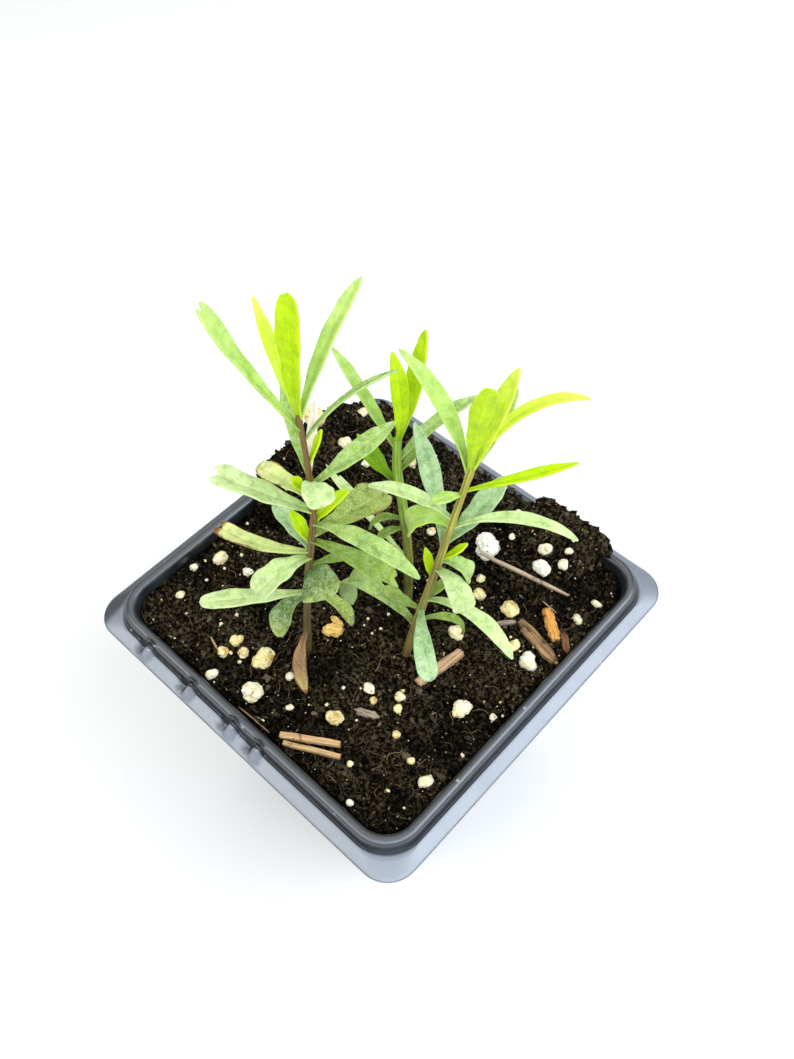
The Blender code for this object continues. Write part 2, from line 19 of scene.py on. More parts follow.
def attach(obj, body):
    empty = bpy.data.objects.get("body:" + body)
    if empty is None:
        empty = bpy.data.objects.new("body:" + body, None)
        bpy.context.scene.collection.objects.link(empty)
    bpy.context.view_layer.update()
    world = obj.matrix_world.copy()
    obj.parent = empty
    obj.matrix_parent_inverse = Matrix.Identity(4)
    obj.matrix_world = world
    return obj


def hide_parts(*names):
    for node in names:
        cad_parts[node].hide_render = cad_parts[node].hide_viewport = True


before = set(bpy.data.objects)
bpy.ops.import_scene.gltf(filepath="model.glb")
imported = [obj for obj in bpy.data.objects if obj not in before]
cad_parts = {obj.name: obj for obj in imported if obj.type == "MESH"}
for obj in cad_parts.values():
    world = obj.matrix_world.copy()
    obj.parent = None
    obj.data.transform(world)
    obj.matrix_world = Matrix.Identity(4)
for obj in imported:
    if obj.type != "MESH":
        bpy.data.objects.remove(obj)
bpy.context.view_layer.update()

log = logging.getLogger("tarragon")

MM = 0.001
RIM = 75.0
BODY = "root"

Colour = tuple[float, float, float]
Outline = Sequence[tuple[float, float]]

BLACK: Colour = (0.0, 0.0, 0.0)
WHITE: Colour = (1.0, 1.0, 1.0)


def smooth_step(low: float, high: float, value: float) -> float:
    """A smooth rise from 0 at low to 1 at high.

    Args:
        low: Where the rise starts.
        high: Where it ends.
        value: Where it is read.

    Returns:
        A share from 0 to 1.
    """
    share = min(max((value - low) / (high - low), 0.0), 1.0)
    return share * share * (3 - 2 * share)


def read_curve(points: Outline, share: float) -> float:
    """Read a smooth curve through a few points.

    Args:
        points: Pairs of share and value, in order.
        share: Where to read.

    Returns:
        The value there.
    """
    for (s0, v0), (s1, v1) in zip(points, points[1:]):
        if share <= s1:
            part = (share - s0) / (s1 - s0)
            return v0 + (v1 - v0) * part * part * (3 - 2 * part)
    return points[-1][1]


def crumple(place: Vector, scale: float, seed: float) -> float:
    """Smooth noise of about -1 to 1 at a scale.

    Args:
        place: Where to read, in millimetres.
        scale: Size of its bumps, in millimetres.
        seed: Picks one pattern.

    Returns:
        The noise there.
    """
    return noise.noise(Vector((place.x / scale, place.y / scale, place.z / scale + seed)))


def deselect_all() -> None:
    """Leave nothing selected."""
    bpy.ops.object.select_all(action="DESELECT")


def select_only(*pieces: Object) -> None:
    """Select some pieces and make the first one active.

    Args:
        pieces: What to select.
    """
    deselect_all()
    for piece in pieces:
        piece.select_set(True)
    bpy.context.view_layer.objects.active = pieces[0]


def name_piece(name: str) -> Object:
    """Name the primitive that was just added.

    Args:
        name: Its name.

    Returns:
        The piece.
    """
    piece = bpy.context.object
    piece.name = name
    piece.data.name = name
    return piece


def reshape(piece: Object, rule: Callable[[Vector], Vector]) -> None:
    """Move each corner of a piece to where a rule puts it.

    Args:
        piece: The piece, on the origin.
        rule: Takes a corner's place and gives its new one, in millimetres from the foot.
    """
    for vert in piece.data.vertices:
        vert.co = rule(vert.co) * MM
    piece.data.update()


def add_sheet(name: str, across: int, along: int) -> Object:
    """A flat grid from -1 to 1 both ways, with a UV map.

    Args:
        name: Its name.
        across: Cells along X.
        along: Cells along Y.

    Returns:
        The grid.
    """
    deselect_all()
    bpy.ops.mesh.primitive_grid_add(x_subdivisions=across, y_subdivisions=along, size=2.0)
    return name_piece(name)


def add_ball(name: str, fine: int) -> Object:
    """A ball of radius 1 made of triangles.

    Args:
        name: Its name.
        fine: How often it is divided.

    Returns:
        The ball.
    """
    deselect_all()
    bpy.ops.mesh.primitive_ico_sphere_add(subdivisions=fine, radius=1.0)
    return name_piece(name)


def close_roll(piece: Object) -> None:
    """Merge a rolled-up sheet's seam, close both ends and turn its faces out.

    Args:
        piece: The rolled-up sheet.
    """
    select_only(piece)
    bpy.ops.object.mode_set(mode="EDIT")
    bpy.ops.mesh.select_all(action="SELECT")
    bpy.ops.mesh.remove_doubles(threshold=0.000004)
    bpy.ops.mesh.fill_holes(sides=0)
    bpy.ops.mesh.select_all(action="SELECT")
    bpy.ops.mesh.normals_make_consistent(inside=False)
    bpy.ops.object.mode_set(mode="OBJECT")
    bpy.ops.object.shade_smooth_by_angle(angle=math.radians(50))


def apply_modifiers(piece: Object) -> None:
    """Apply all of a piece's modifiers in order.

    Args:
        piece: The piece.
    """
    select_only(piece)
    for step in list(piece.modifiers):
        bpy.ops.object.modifier_apply(modifier=step.name)


def join_pieces(name: str, pieces: Sequence[Object]) -> Object:
    """Join pieces into one mesh.

    Args:
        name: Its name.
        pieces: What is joined.

    Returns:
        The joined piece.
    """
    select_only(*pieces)
    bpy.ops.object.join()
    return name_piece(name)


def store_values(piece: Object, name: str, values: Sequence[float]) -> None:
    """Store a value at each corner of a piece, for its finish to read.

    Args:
        piece: The piece.
        name: The attribute's name.
        values: One value for each corner.
    """
    layer = piece.data.attributes.new(name, "FLOAT", "POINT")
    layer.data.foreach_set("value", values)


def place_copies(
    name: str,
    models: Sequence[Object],
    places: Iterable[tuple[Matrix, float]],
    draw: random.Random,
) -> Object:
    """Copy a few models many times, each copy with its own mesh, and join the copies.

    Args:
        name: Name of the joined piece.
        models: Pieces to copy. They are removed afterwards.
        places: Matrix and tone of each copy.
        draw: Picks the model of each copy.

    Returns:
        The joined piece.
    """
    copies = []
    for place, tone in places:
        model = draw.choice(models)
        copy = bpy.data.objects.new(name, model.data.copy())
        copy.data.transform(place)
        bpy.context.scene.collection.objects.link(copy)
        store_values(copy, "tone", [tone] * len(copy.data.vertices))
        copies.append(copy)
    for model in models:
        bpy.data.objects.remove(model)
    return join_pieces(name, copies)


def finish_piece(
    piece: Object, finish: Material | None, slot: str, *nodes: str
) -> Object:
    """Give a piece its finish and place it on the frame.

    Args:
        piece: The piece.
        finish: Its material, or None where it already has its own.
        slot: The record's material slot; not used.
        nodes: CAD nodes that it stands for.

    Returns:
        The same piece.
    """
    if finish:
        piece.data.materials.clear()
        piece.data.materials.append(finish)
    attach(piece, BODY)
    if nodes:
        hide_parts(*nodes)
    log.info("%s: %d faces", piece.name, len(piece.data.polygons))
    return piece


def add_node(
    tree: NodeTree, kind: str, inputs: dict[str | int, object] | None = None, **settings: object
) -> Node:
    """Add a shader node, set its values and wire its inputs.

    Args:
        tree: Where it goes.
        kind: Its type, without the leading ShaderNode.
        inputs: For each input, a value or the socket that feeds it. A colour has no alpha.
        settings: Other settings of the node.

    Returns:
        The node.
    """
    node = tree.nodes.new("ShaderNode" + kind)
    for name, value in settings.items():
        setattr(node, name, value)
    for name, value in (inputs or {}).items():
        if isinstance(value, NodeSocket):
            tree.links.new(value, node.inputs[name])
        else:
            node.inputs[name].default_value = (*value, 1.0) if isinstance(value, tuple) else value
    return node


def read_attribute(tree: NodeTree, name: str, output: str = "Fac") -> NodeSocket:
    """Read what a mesh stores at its corners.

    Args:
        tree: Where it goes.
        name: The attribute's name.
        output: The node's output.

    Returns:
        The output's socket.
    """
    return add_node(tree, "Attribute", attribute_name=name).outputs[output]


def do_math(tree: NodeTree, operation: str, *values: object) -> NodeSocket:
    """One step of arithmetic on values or sockets.

    Args:
        tree: Where it goes.
        operation: The step's name, such as MULTIPLY.
        values: One to three values or sockets.

    Returns:
        The result's socket.
    """
    return add_node(tree, "Math", dict(enumerate(values)), operation=operation).outputs[0]


def blend_colours(
    tree: NodeTree, share: object, first: object, second: object, way: str = "MIX"
) -> NodeSocket:
    """Blend two colours by a mask.

    Args:
        tree: Where it goes.
        share: Value or socket, 0 for the first colour and 1 for the second.
        first: Colour or socket.
        second: Colour or socket.
        way: Blend type.

    Returns:
        The blended colour's socket.
    """
    inputs = {0: share, 6: first, 7: second}
    return add_node(tree, "Mix", inputs, data_type="RGBA", blend_type=way).outputs[2]


def ramp_mask(
    tree: NodeTree, value: NodeSocket, low: object, high: object
) -> NodeSocket:
    """Turn a value into a mask that rises smoothly between two limits.

    Args:
        tree: Where it goes.
        value: What is read.
        low: Value or socket, where the mask is 0.
        high: Value or socket, where it is 1.

    Returns:
        The mask's socket.
    """
    inputs = {0: value, 1: low, 2: high, 3: 0.0, 4: 1.0}
    return add_node(tree, "MapRange", inputs, interpolation_type="SMOOTHSTEP").outputs[0]


def new_group(
    name: str, inputs: dict[str, str], outputs: dict[str, str]
) -> tuple[NodeTree, bpy_prop_collection, bpy_prop_collection]:
    """Start a shader node group with named sockets.

    Args:
        name: The group's name.
        inputs: For each input its socket type.
        outputs: For each output its socket type.

    Returns:
        The group, the sockets that its nodes read from, and those that they write to.
    """
    group = bpy.data.node_groups.new(name, "ShaderNodeTree")
    for way, sockets in (("INPUT", inputs), ("OUTPUT", outputs)):
        for label, kind in sockets.items():
            group.interface.new_socket(name=label, in_out=way, socket_type="NodeSocket" + kind)
    given = group.nodes.new("NodeGroupInput").outputs
    return group, given, group.nodes.new("NodeGroupOutput").inputs


class Patch(NamedTuple):
    """Soft uneven patches: how fine they are, and where their mask is 0 and 1."""

    scale: float
    low: float
    high: float


class Speck(NamedTuple):
    """Small round specks: how fine their cells are, radius in cells, and share of cells with one."""

    scale: float
    size: float
    share: float


class Lines(NamedTuple):
    """Fine lines along a strip: how many side by side, how often they change along it, and how thin."""

    count: float
    stretch: float
    sharp: float


class Relief(NamedTuple):
    """A fine relief: strength from 0 to 1, and height in millimetres."""

    strength: float
    depth: float


class EffectGroups:
    """Shader node groups that several finishes share, each built once."""

    def __init__(self) -> None:
        """Build the groups."""
        self.mottle = self.build_mottle()
        self.speckle = self.build_speckle()
        self.fibre = self.build_fibre()

    @staticmethod
    def build_mottle() -> NodeTree:
        """Two colours in soft uneven patches.

        Returns:
            The group.
        """
        group, given, result = new_group(
            "mottle",
            {"Vector": "Vector", "Scale": "Float", "Low": "Float", "High": "Float",
             "First": "Color", "Second": "Color"},
            {"Colour": "Color", "Mask": "Float"},
        )
        inputs = {"Vector": given["Vector"], "Scale": given["Scale"], "Detail": 5.0, "Roughness": 0.6}
        cloud = add_node(group, "TexNoise", inputs)
        mask = ramp_mask(group, cloud.outputs["Fac"], given["Low"], given["High"])
        group.links.new(blend_colours(group, mask, given["First"], given["Second"]), result["Colour"])
        group.links.new(mask, result["Mask"])
        return group

    @staticmethod
    def build_speckle() -> NodeTree:
        """Small round specks, on a share of the cells only.

        Returns:
            The group.
        """
        group, given, result = new_group(
            "speckle",
            {"Vector": "Vector", "Scale": "Float", "Size": "Float", "Share": "Float"},
            {"Mask": "Float"},
        )
        cells = add_node(group, "TexVoronoi", {"Vector": given["Vector"], "Scale": given["Scale"]})
        near = do_math(group, "LESS_THAN", cells.outputs["Distance"], given["Size"])
        pick = add_node(group, "SeparateColor", {0: cells.outputs["Color"]})
        kept = do_math(group, "LESS_THAN", pick.outputs[0], given["Share"])
        group.links.new(do_math(group, "MULTIPLY", near, kept), result["Mask"])
        return group

    @staticmethod
    def build_fibre() -> NodeTree:
        """Fine uneven lines along a strip's length, read from its UV map.

        Returns:
            The group.
        """
        group, given, result = new_group(
            "fibre_lines",
            {"UV": "Vector", "Lines": "Float", "Stretch": "Float", "Sharp": "Float"},
            {"Mask": "Float"},
        )
        scale = add_node(group, "CombineXYZ", {0: given["Lines"], 1: given["Stretch"], 2: 1.0})
        drawn = add_node(group, "VectorMath", {0: given["UV"], 1: scale.outputs[0]}, operation="MULTIPLY")
        lines = add_node(group, "TexNoise", {"Vector": drawn.outputs[0], "Scale": 1.0, "Detail": 3.0})
        mask = add_node(group, "MapRange", {0: lines.outputs["Fac"], 1: 0.35, 2: 0.65})
        group.links.new(do_math(group, "POWER", mask.outputs[0], given["Sharp"]), result["Mask"])
        return group

    def patches(
        self, tree: NodeTree, place: NodeSocket, patch: Patch,
        colours: tuple[Colour, Colour] = (BLACK, WHITE),
    ) -> Node:
        """Place soft uneven patches in a material.

        Args:
            tree: The material's nodes.
            place: The coordinates that they follow.
            patch: Their kind.
            colours: What they blend.

        Returns:
            The group's node, with outputs Colour and Mask.
        """
        inputs = {"Vector": place, "Scale": patch.scale, "Low": patch.low, "High": patch.high,
                  "First": colours[0], "Second": colours[1]}
        return add_node(tree, "Group", inputs, node_tree=self.mottle)

    def specks(
        self, tree: NodeTree, place: NodeSocket, speck: Speck
    ) -> NodeSocket:
        """Place small round specks in a material.

        Args:
            tree: The material's nodes.
            place: The coordinates that they follow.
            speck: Their kind.

        Returns:
            The mask's socket.
        """
        inputs = {"Vector": place, "Scale": speck.scale, "Size": speck.size, "Share": speck.share}
        return add_node(tree, "Group", inputs, node_tree=self.speckle).outputs["Mask"]

    def lines(
        self, tree: NodeTree, strip: NodeSocket, lines: Lines
    ) -> NodeSocket:
        """Place fine lines in a material.

        Args:
            tree: The material's nodes.
            strip: The UV map that they follow.
            lines: Their kind.

        Returns:
            The mask's socket.
        """
        inputs = {"UV": strip, "Lines": lines.count, "Stretch": lines.stretch, "Sharp": lines.sharp}
        return add_node(tree, "Group", inputs, node_tree=self.fibre).outputs["Mask"]


def start_material(
    name: str, roughness: float, gloss: float = 0.5
) -> tuple[Material, NodeTree, Node]:
    """A new material with its shader.

    Args:
        name: The finish's name.
        roughness: The shader's roughness.
        gloss: Its specular level.

    Returns:
        The material, its nodes and its Principled shader.
    """
    finish = bpy.data.materials.new(name)
    finish.use_nodes = True
    tree = finish.node_tree
    shader = tree.nodes["Principled BSDF"]
    shader.inputs["Roughness"].default_value = roughness
    shader.inputs["Specular IOR Level"].default_value = gloss
    return finish, tree, shader


def add_relief(
    tree: NodeTree, shader: Node, height: NodeSocket, relief: Relief
) -> None:
    """Give a shader a fine relief.

    Args:
        tree: The material's nodes.
        shader: Its Principled shader.
        height: What the relief follows.
        relief: Its strength and depth.
    """
    inputs = {"Strength": relief.strength, "Distance": relief.depth * MM, "Height": height}
    bump = add_node(tree, "Bump", inputs)
    tree.links.new(bump.outputs[0], shader.inputs["Normal"])


@dataclass(frozen=True)
class PlasticFinish:
    """Thin black plastic with a soft sheen, a pale painted sheen (a painted reflection) on its flange and
    bead crest, faint scuffs and dust.
    """

    base: Colour = (0.008, 0.009, 0.011)
    scuffed: Colour = (0.022, 0.025, 0.030)
    # Pale blue-grey painted over the flange and crest as their reflection of the lamps: a painted sheen.
    painted_sheen: Colour = (0.20, 0.22, 0.265)
    dust: Colour = (0.30, 0.27, 0.22)
    roughness: float = 0.34
    rougher: float = 0.08
    ior: float = 1.7
    gloss: float = 1.0
    sheen: Colour = (0.86, 0.92, 1.0)
    scuffs: Patch = Patch(120.0, 0.42, 0.7)
    dust_specks: Speck = Speck(700.0, 0.22, 0.035)
    relief_scale: float = 900.0
    relief: Relief = Relief(0.12, 0.05)

    def build(self, effects: EffectGroups) -> Material:
        """Build the material.

        Args:
            effects: Shared effects.

        Returns:
            The material.
        """
        finish, tree, shader = start_material("black_plastic_sheen", self.roughness, self.gloss)
        place = add_node(tree, "TexCoord").outputs["Object"]
        scuff = effects.patches(tree, place, self.scuffs, (self.base, self.scuffed))
        # Painted sheen: this pale colour is blended in where the pot stores it, standing for reflected light.
        colour = blend_colours(tree, read_attribute(tree, "painted_sheen"), scuff.outputs["Colour"], self.painted_sheen)
        colour = blend_colours(tree, effects.specks(tree, place, self.dust_specks), colour, self.dust)
        tree.links.new(colour, shader.inputs["Base Color"])
        limits = {0: scuff.outputs["Mask"], 3: self.roughness, 4: self.roughness + self.rougher}
        tree.links.new(add_node(tree, "MapRange", limits).outputs[0], shader.inputs["Roughness"])
        shader.inputs["IOR"].default_value = self.ior
        shader.inputs["Specular Tint"].default_value = (*self.sheen, 1.0)
        peel = add_node(tree, "TexNoise", {"Vector": place, "Scale": self.relief_scale, "Detail": 2.0})
        add_relief(tree, shader, peel.outputs["Fac"], self.relief)
        return finish


@dataclass(frozen=True)
class PeatFinish:
    """Moist dark peat: near-black and brown crumbs with olive and reddish bits."""

    dark: Colour = (0.0024, 0.0018, 0.0012)
    brown: Colour = (0.070, 0.052, 0.030)
    olive: Colour = (0.085, 0.075, 0.036)
    pale: Colour = (0.26, 0.21, 0.13)
    damp: Colour = (0.32, 0.31, 0.30)
    drier: Colour = (1.4, 1.36, 1.28)
    crumbs: Patch = Patch(1250.0, 0.45, 0.66)
    aged: Patch = Patch(160.0, 0.5, 0.7)
    wet: Patch = Patch(75.0, 0.42, 0.6)
    pale_specks: Speck = Speck(1300.0, 0.3, 0.06)
    relief_scale: float = 2600.0
    relief: Relief = Relief(0.9, 0.35)

    def build(self, effects: EffectGroups) -> Material:
        """Build the material.

        Args:
            effects: Shared effects.

        Returns:
            The material.
        """
        finish, tree, shader = start_material("peat", 0.9, 0.04)
        place = add_node(tree, "TexCoord").outputs["Object"]
        crumbs = effects.patches(tree, place, self.crumbs, (self.dark, self.brown))
        aged = effects.patches(tree, place, self.aged).outputs["Mask"]
        aged = do_math(tree, "MULTIPLY", aged, crumbs.outputs["Mask"])
        colour = blend_colours(tree, aged, crumbs.outputs["Colour"], self.olive)
        damp = effects.patches(tree, place, self.wet, (self.damp, self.drier))
        colour = blend_colours(tree, 1.0, colour, damp.outputs["Colour"], "MULTIPLY")
        colour = blend_colours(tree, read_attribute(tree, "tone"), colour, self.pale)
        colour = blend_colours(tree, effects.specks(tree, place, self.pale_specks), colour, self.pale)
        tree.links.new(colour, shader.inputs["Base Color"])
        inputs = {"Vector": place, "Scale": self.relief_scale, "Detail": 4.0, "Roughness": 0.7}
        fine = add_node(tree, "TexNoise", inputs)
        add_relief(tree, shader, fine.outputs["Fac"], self.relief)
        return finish


@dataclass(frozen=True)
class HairFinish:
    """Thin root and peat fibres, from near black to straw."""

    dark: Colour = (0.010, 0.007, 0.004)
    straw: Colour = (0.30, 0.20, 0.10)
    shade: Colour = (0.5, 0.5, 0.5)
    shaded: Patch = Patch(500.0, 0.35, 0.65)

    def build(self, effects: EffectGroups) -> Material:
        """Build the material.

        Args:
            effects: Shared effects.

        Returns:
            The material.
        """
        finish, tree, shader = start_material("peat_fibre", 0.7, 0.3)
        place = add_node(tree, "TexCoord").outputs["Object"]
        patch = effects.patches(tree, place, self.shaded, (self.shade, WHITE))
        colour = blend_colours(tree, read_attribute(tree, "tone"), self.dark, self.straw)
        colour = blend_colours(tree, 1.0, colour, patch.outputs["Colour"], "MULTIPLY")
        tree.links.new(colour, shader.inputs["Base Color"])
        return finish


@dataclass(frozen=True)
class PerliteFinish:
    """Popped perlite: white to cream, with ochre in its hollows and dirt in small pits."""

    white: Colour = (0.92, 0.90, 0.82)
    cream: Colour = (0.86, 0.76, 0.36)
    ochre: Colour = (0.58, 0.36, 0.10)
    dirt: Colour = (0.07, 0.045, 0.02)
    stained: Patch = Patch(520.0, 0.47, 0.68)
    least_stain: float = 0.05
    pits: Speck = Speck(1500.0, 0.28, 0.12)
    pit_dirt: float = 0.8
    relief_scale: float = 1500.0
    relief: Relief = Relief(0.8, 0.3)

    def build(self, effects: EffectGroups) -> Material:
        """Build the material.

        Args:
            effects: Shared effects.

        Returns:
            The material.
        """
        finish, tree, shader = start_material("popped_perlite", 0.85, 0.2)
        place = add_node(tree, "TexCoord").outputs["Object"]
        tone = read_attribute(tree, "tone")
        colour = blend_colours(tree, tone, self.white, self.cream)
        patch = effects.patches(tree, place, self.stained).outputs["Mask"]
        share = do_math(tree, "MULTIPLY", patch, do_math(tree, "ADD", tone, self.least_stain))
        colour = blend_colours(tree, share, colour, self.ochre)
        pits = do_math(tree, "MULTIPLY", effects.specks(tree, place, self.pits), self.pit_dirt)
        colour = blend_colours(tree, pits, colour, self.dirt)
        tree.links.new(colour, shader.inputs["Base Color"])
        fine = add_node(tree, "TexNoise", {"Vector": place, "Scale": self.relief_scale, "Detail": 3.0})
        add_relief(tree, shader, fine.outputs["Fac"], self.relief)
        return finish


@dataclass(frozen=True)
class WoodFinish:
    """Split wood or bark with lines along it and darker worn patches."""

    name: str
    light: Colour
    line: Colour
    stain: Colour
    lines: float
    stain_low: float
    stain_edge: float = 0.16
    stain_scale: float = 330.0
    stretch: float = 2.0
    sharp: float = 0.8
    relief: Relief = Relief(0.8, 0.25)

    def build(self, effects: EffectGroups) -> Material:
        """Build the material.

        Args:
            effects: Shared effects.

        Returns:
            The material.
        """
        finish, tree, shader = start_material(self.name, 0.8, 0.25)
        coords = add_node(tree, "TexCoord").outputs
        grain = effects.lines(tree, coords["UV"], Lines(self.lines, self.stretch, self.sharp))
        colour = blend_colours(tree, grain, self.line, self.light)
        stained = Patch(self.stain_scale, self.stain_low, self.stain_low + self.stain_edge)
        worn = effects.patches(tree, coords["Object"], stained).outputs["Mask"]
        colour = blend_colours(tree, worn, colour, self.stain)
        tree.links.new(colour, shader.inputs["Base Color"])
        add_relief(tree, shader, grain, self.relief)
        return finish


@dataclass(frozen=True)
class StemFinish:
    """Ribbed herb stem: brown at its foot, turning green towards its top."""

    name: str
    foot: Colour
    middle: Colour
    top: Colour
    turn: float
    rib_gain: Colour = (2.4, 2.9, 2.0)
    ribs: Lines = Lines(11.0, 4.0, 1.2)
    uneven: Patch = Patch(240.0, 0.35, 0.65)
    uneven_shift: float = 0.16
    foot_reach: tuple[float, float] = (0.12, 0.42)
    turn_reach: float = 0.35
    relief: Relief = Relief(0.6, 0.15)

    def build(self, effects: EffectGroups) -> Material:
        """Build the material.

        Args:
            effects: Shared effects.

        Returns:
            The material.
        """
        finish, tree, shader = start_material(self.name, 0.6)
        coords = add_node(tree, "TexCoord").outputs
        rise = add_node(tree, "SeparateXYZ", {0: coords["UV"]}).outputs[1]
        ribs = effects.lines(tree, coords["UV"], self.ribs)
        patch = effects.patches(tree, coords["Object"], self.uneven).outputs["Mask"]
        shift = do_math(tree, "MULTIPLY_ADD", patch, self.uneven_shift, rise)
        colour = blend_colours(tree, ramp_mask(tree, shift, *self.foot_reach), self.foot, self.middle)
        turned = ramp_mask(tree, shift, self.turn, self.turn + self.turn_reach)
        colour = blend_colours(tree, turned, colour, self.top)
        pale = blend_colours(tree, 1.0, colour, self.rib_gain, "MULTIPLY")
        colour = blend_colours(tree, ribs, colour, pale)
        tree.links.new(colour, shader.inputs["Base Color"])
        add_relief(tree, shader, ribs, self.relief)
        return finish


@dataclass(frozen=True)
class LeafFinish:
    """Tarragon leaf: tint from the blade's attributes, pale rib, faint veins, bloom, specks, browned edge."""

    bloom: Colour = (0.60, 0.72, 0.46)
    speck: Colour = (0.84, 0.90, 0.66)
    scorch: Colour = (0.22, 0.10, 0.03)
    under: Colour = (0.42, 0.56, 0.28)
    uneven: tuple[Colour, Colour] = ((0.76, 0.82, 0.74), (1.08, 1.05, 1.10))
    dull: Colour = (0.50, 0.60, 0.42)
    line_gain: Colour = (1.45, 1.35, 1.6)
    vein_slant: float = -3.4
    vein_count: float = 9.0
    vein_edge: tuple[float, float] = (0.86, 1.0)
    vein_share: float = 0.22
    rib_edge: tuple[float, float] = (0.012, 0.045)
    rib_share: float = 0.4
    pale_edge: tuple[float, float] = (0.462, 0.488)
    pale_share: float = 0.45
    uneven_patch: Patch = Patch(340.0, 0.3, 0.66)
    bloom_patch: Patch = Patch(900.0, 0.38, 0.62)
    dull_patch: Patch = Patch(620.0, 0.5, 0.62)
    dull_share: float = 0.85
    dot_patch: Patch = Patch(3000.0, 0.52, 0.66)
    dot_share: float = 0.5
    burn_gain: float = 1.6
    burn_start: float = -0.75
    burn_uneven: float = 0.5
    burn_edge: tuple[float, float] = (0.15, 0.55)
    under_share: float = 0.55
    bloom_height: float = 0.5
    relief: Relief = Relief(0.6, 0.14)

    def draw_lines(
        self, tree: NodeTree, side: NodeSocket, along: NodeSocket
    ) -> NodeSocket:
        """Draw the rib and the slanting veins.

        Args:
            tree: The material's nodes.
            side: Distance from the rib, 0.5 at the edge.
            along: Share of the leaf's length.

        Returns:
            The mask's socket.
        """
        slant = do_math(tree, "MULTIPLY", along, self.vein_count)
        slant = do_math(tree, "MULTIPLY_ADD", side, self.vein_slant, slant)
        wave = do_math(tree, "SINE", do_math(tree, "MULTIPLY", slant, math.tau))
        vein = do_math(tree, "MULTIPLY", ramp_mask(tree, wave, *self.vein_edge), self.vein_share)
        rib = do_math(tree, "SUBTRACT", 1.0, ramp_mask(tree, side, *self.rib_edge))
        return do_math(tree, "MAXIMUM", vein, do_math(tree, "MULTIPLY", rib, self.rib_share))

    def build(self, effects: EffectGroups) -> Material:
        """Build the material.

        Args:
            effects: Shared effects.

        Returns:
            The material.
        """
        finish, tree, shader = start_material("tarragon_blade", 0.6, 0.05)
        coords = add_node(tree, "TexCoord").outputs
        place = coords["Object"]
        spot = add_node(tree, "SeparateXYZ", {0: coords["UV"]}).outputs
        ages = add_node(tree, "SeparateColor", {0: read_attribute(tree, "age", "Color")})
        bloom, speckled, burnt = list(ages.outputs)[:3]
        side = do_math(tree, "ABSOLUTE", do_math(tree, "SUBTRACT", spot[0], 0.5))
        patch = effects.patches(tree, place, self.uneven_patch, self.uneven)
        tint = read_attribute(tree, "tint", "Color")
        colour = blend_colours(tree, 1.0, tint, patch.outputs["Colour"], "MULTIPLY")
        line = self.draw_lines(tree, side, spot[1])
        pale = blend_colours(tree, 1.0, colour, self.line_gain, "MULTIPLY")
        colour = blend_colours(tree, line, colour, pale)
        dust = effects.patches(tree, place, self.bloom_patch).outputs["Mask"]
        colour = blend_colours(tree, do_math(tree, "MULTIPLY", dust, bloom), colour, self.bloom)
        worn = effects.patches(tree, place, self.dull_patch, (WHITE, self.dull))
        dull = blend_colours(tree, 1.0, colour, worn.outputs["Colour"], "MULTIPLY")
        share = do_math(tree, "MULTIPLY", speckled, self.dull_share)
        colour = blend_colours(tree, share, colour, dull)
        dots = effects.patches(tree, place, self.dot_patch).outputs["Mask"]
        share = do_math(tree, "MULTIPLY", dots, do_math(tree, "MULTIPLY", speckled, self.dot_share))
        colour = blend_colours(tree, share, colour, self.speck)
        edge = do_math(tree, "MULTIPLY", ramp_mask(tree, side, *self.pale_edge), self.pale_share)
        colour = blend_colours(tree, edge, colour, pale)
        burnt = do_math(tree, "MULTIPLY_ADD", burnt, self.burn_gain, self.burn_start)
        burnt = do_math(tree, "MULTIPLY_ADD", patch.outputs["Mask"], self.burn_uneven, burnt)
        colour = blend_colours(tree, ramp_mask(tree, burnt, *self.burn_edge), colour, self.scorch)
        paler = blend_colours(tree, self.under_share, colour, self.under)
        share = do_math(tree, "MULTIPLY", read_attribute(tree, "below"), speckled)
        tree.links.new(blend_colours(tree, share, colour, paler), shader.inputs["Base Color"])
        sunk = do_math(tree, "MULTIPLY", line, -1.0)
        height = do_math(tree, "MULTIPLY_ADD", dust, self.bloom_height, sunk)
        add_relief(tree, shader, height, self.relief)
        return finish


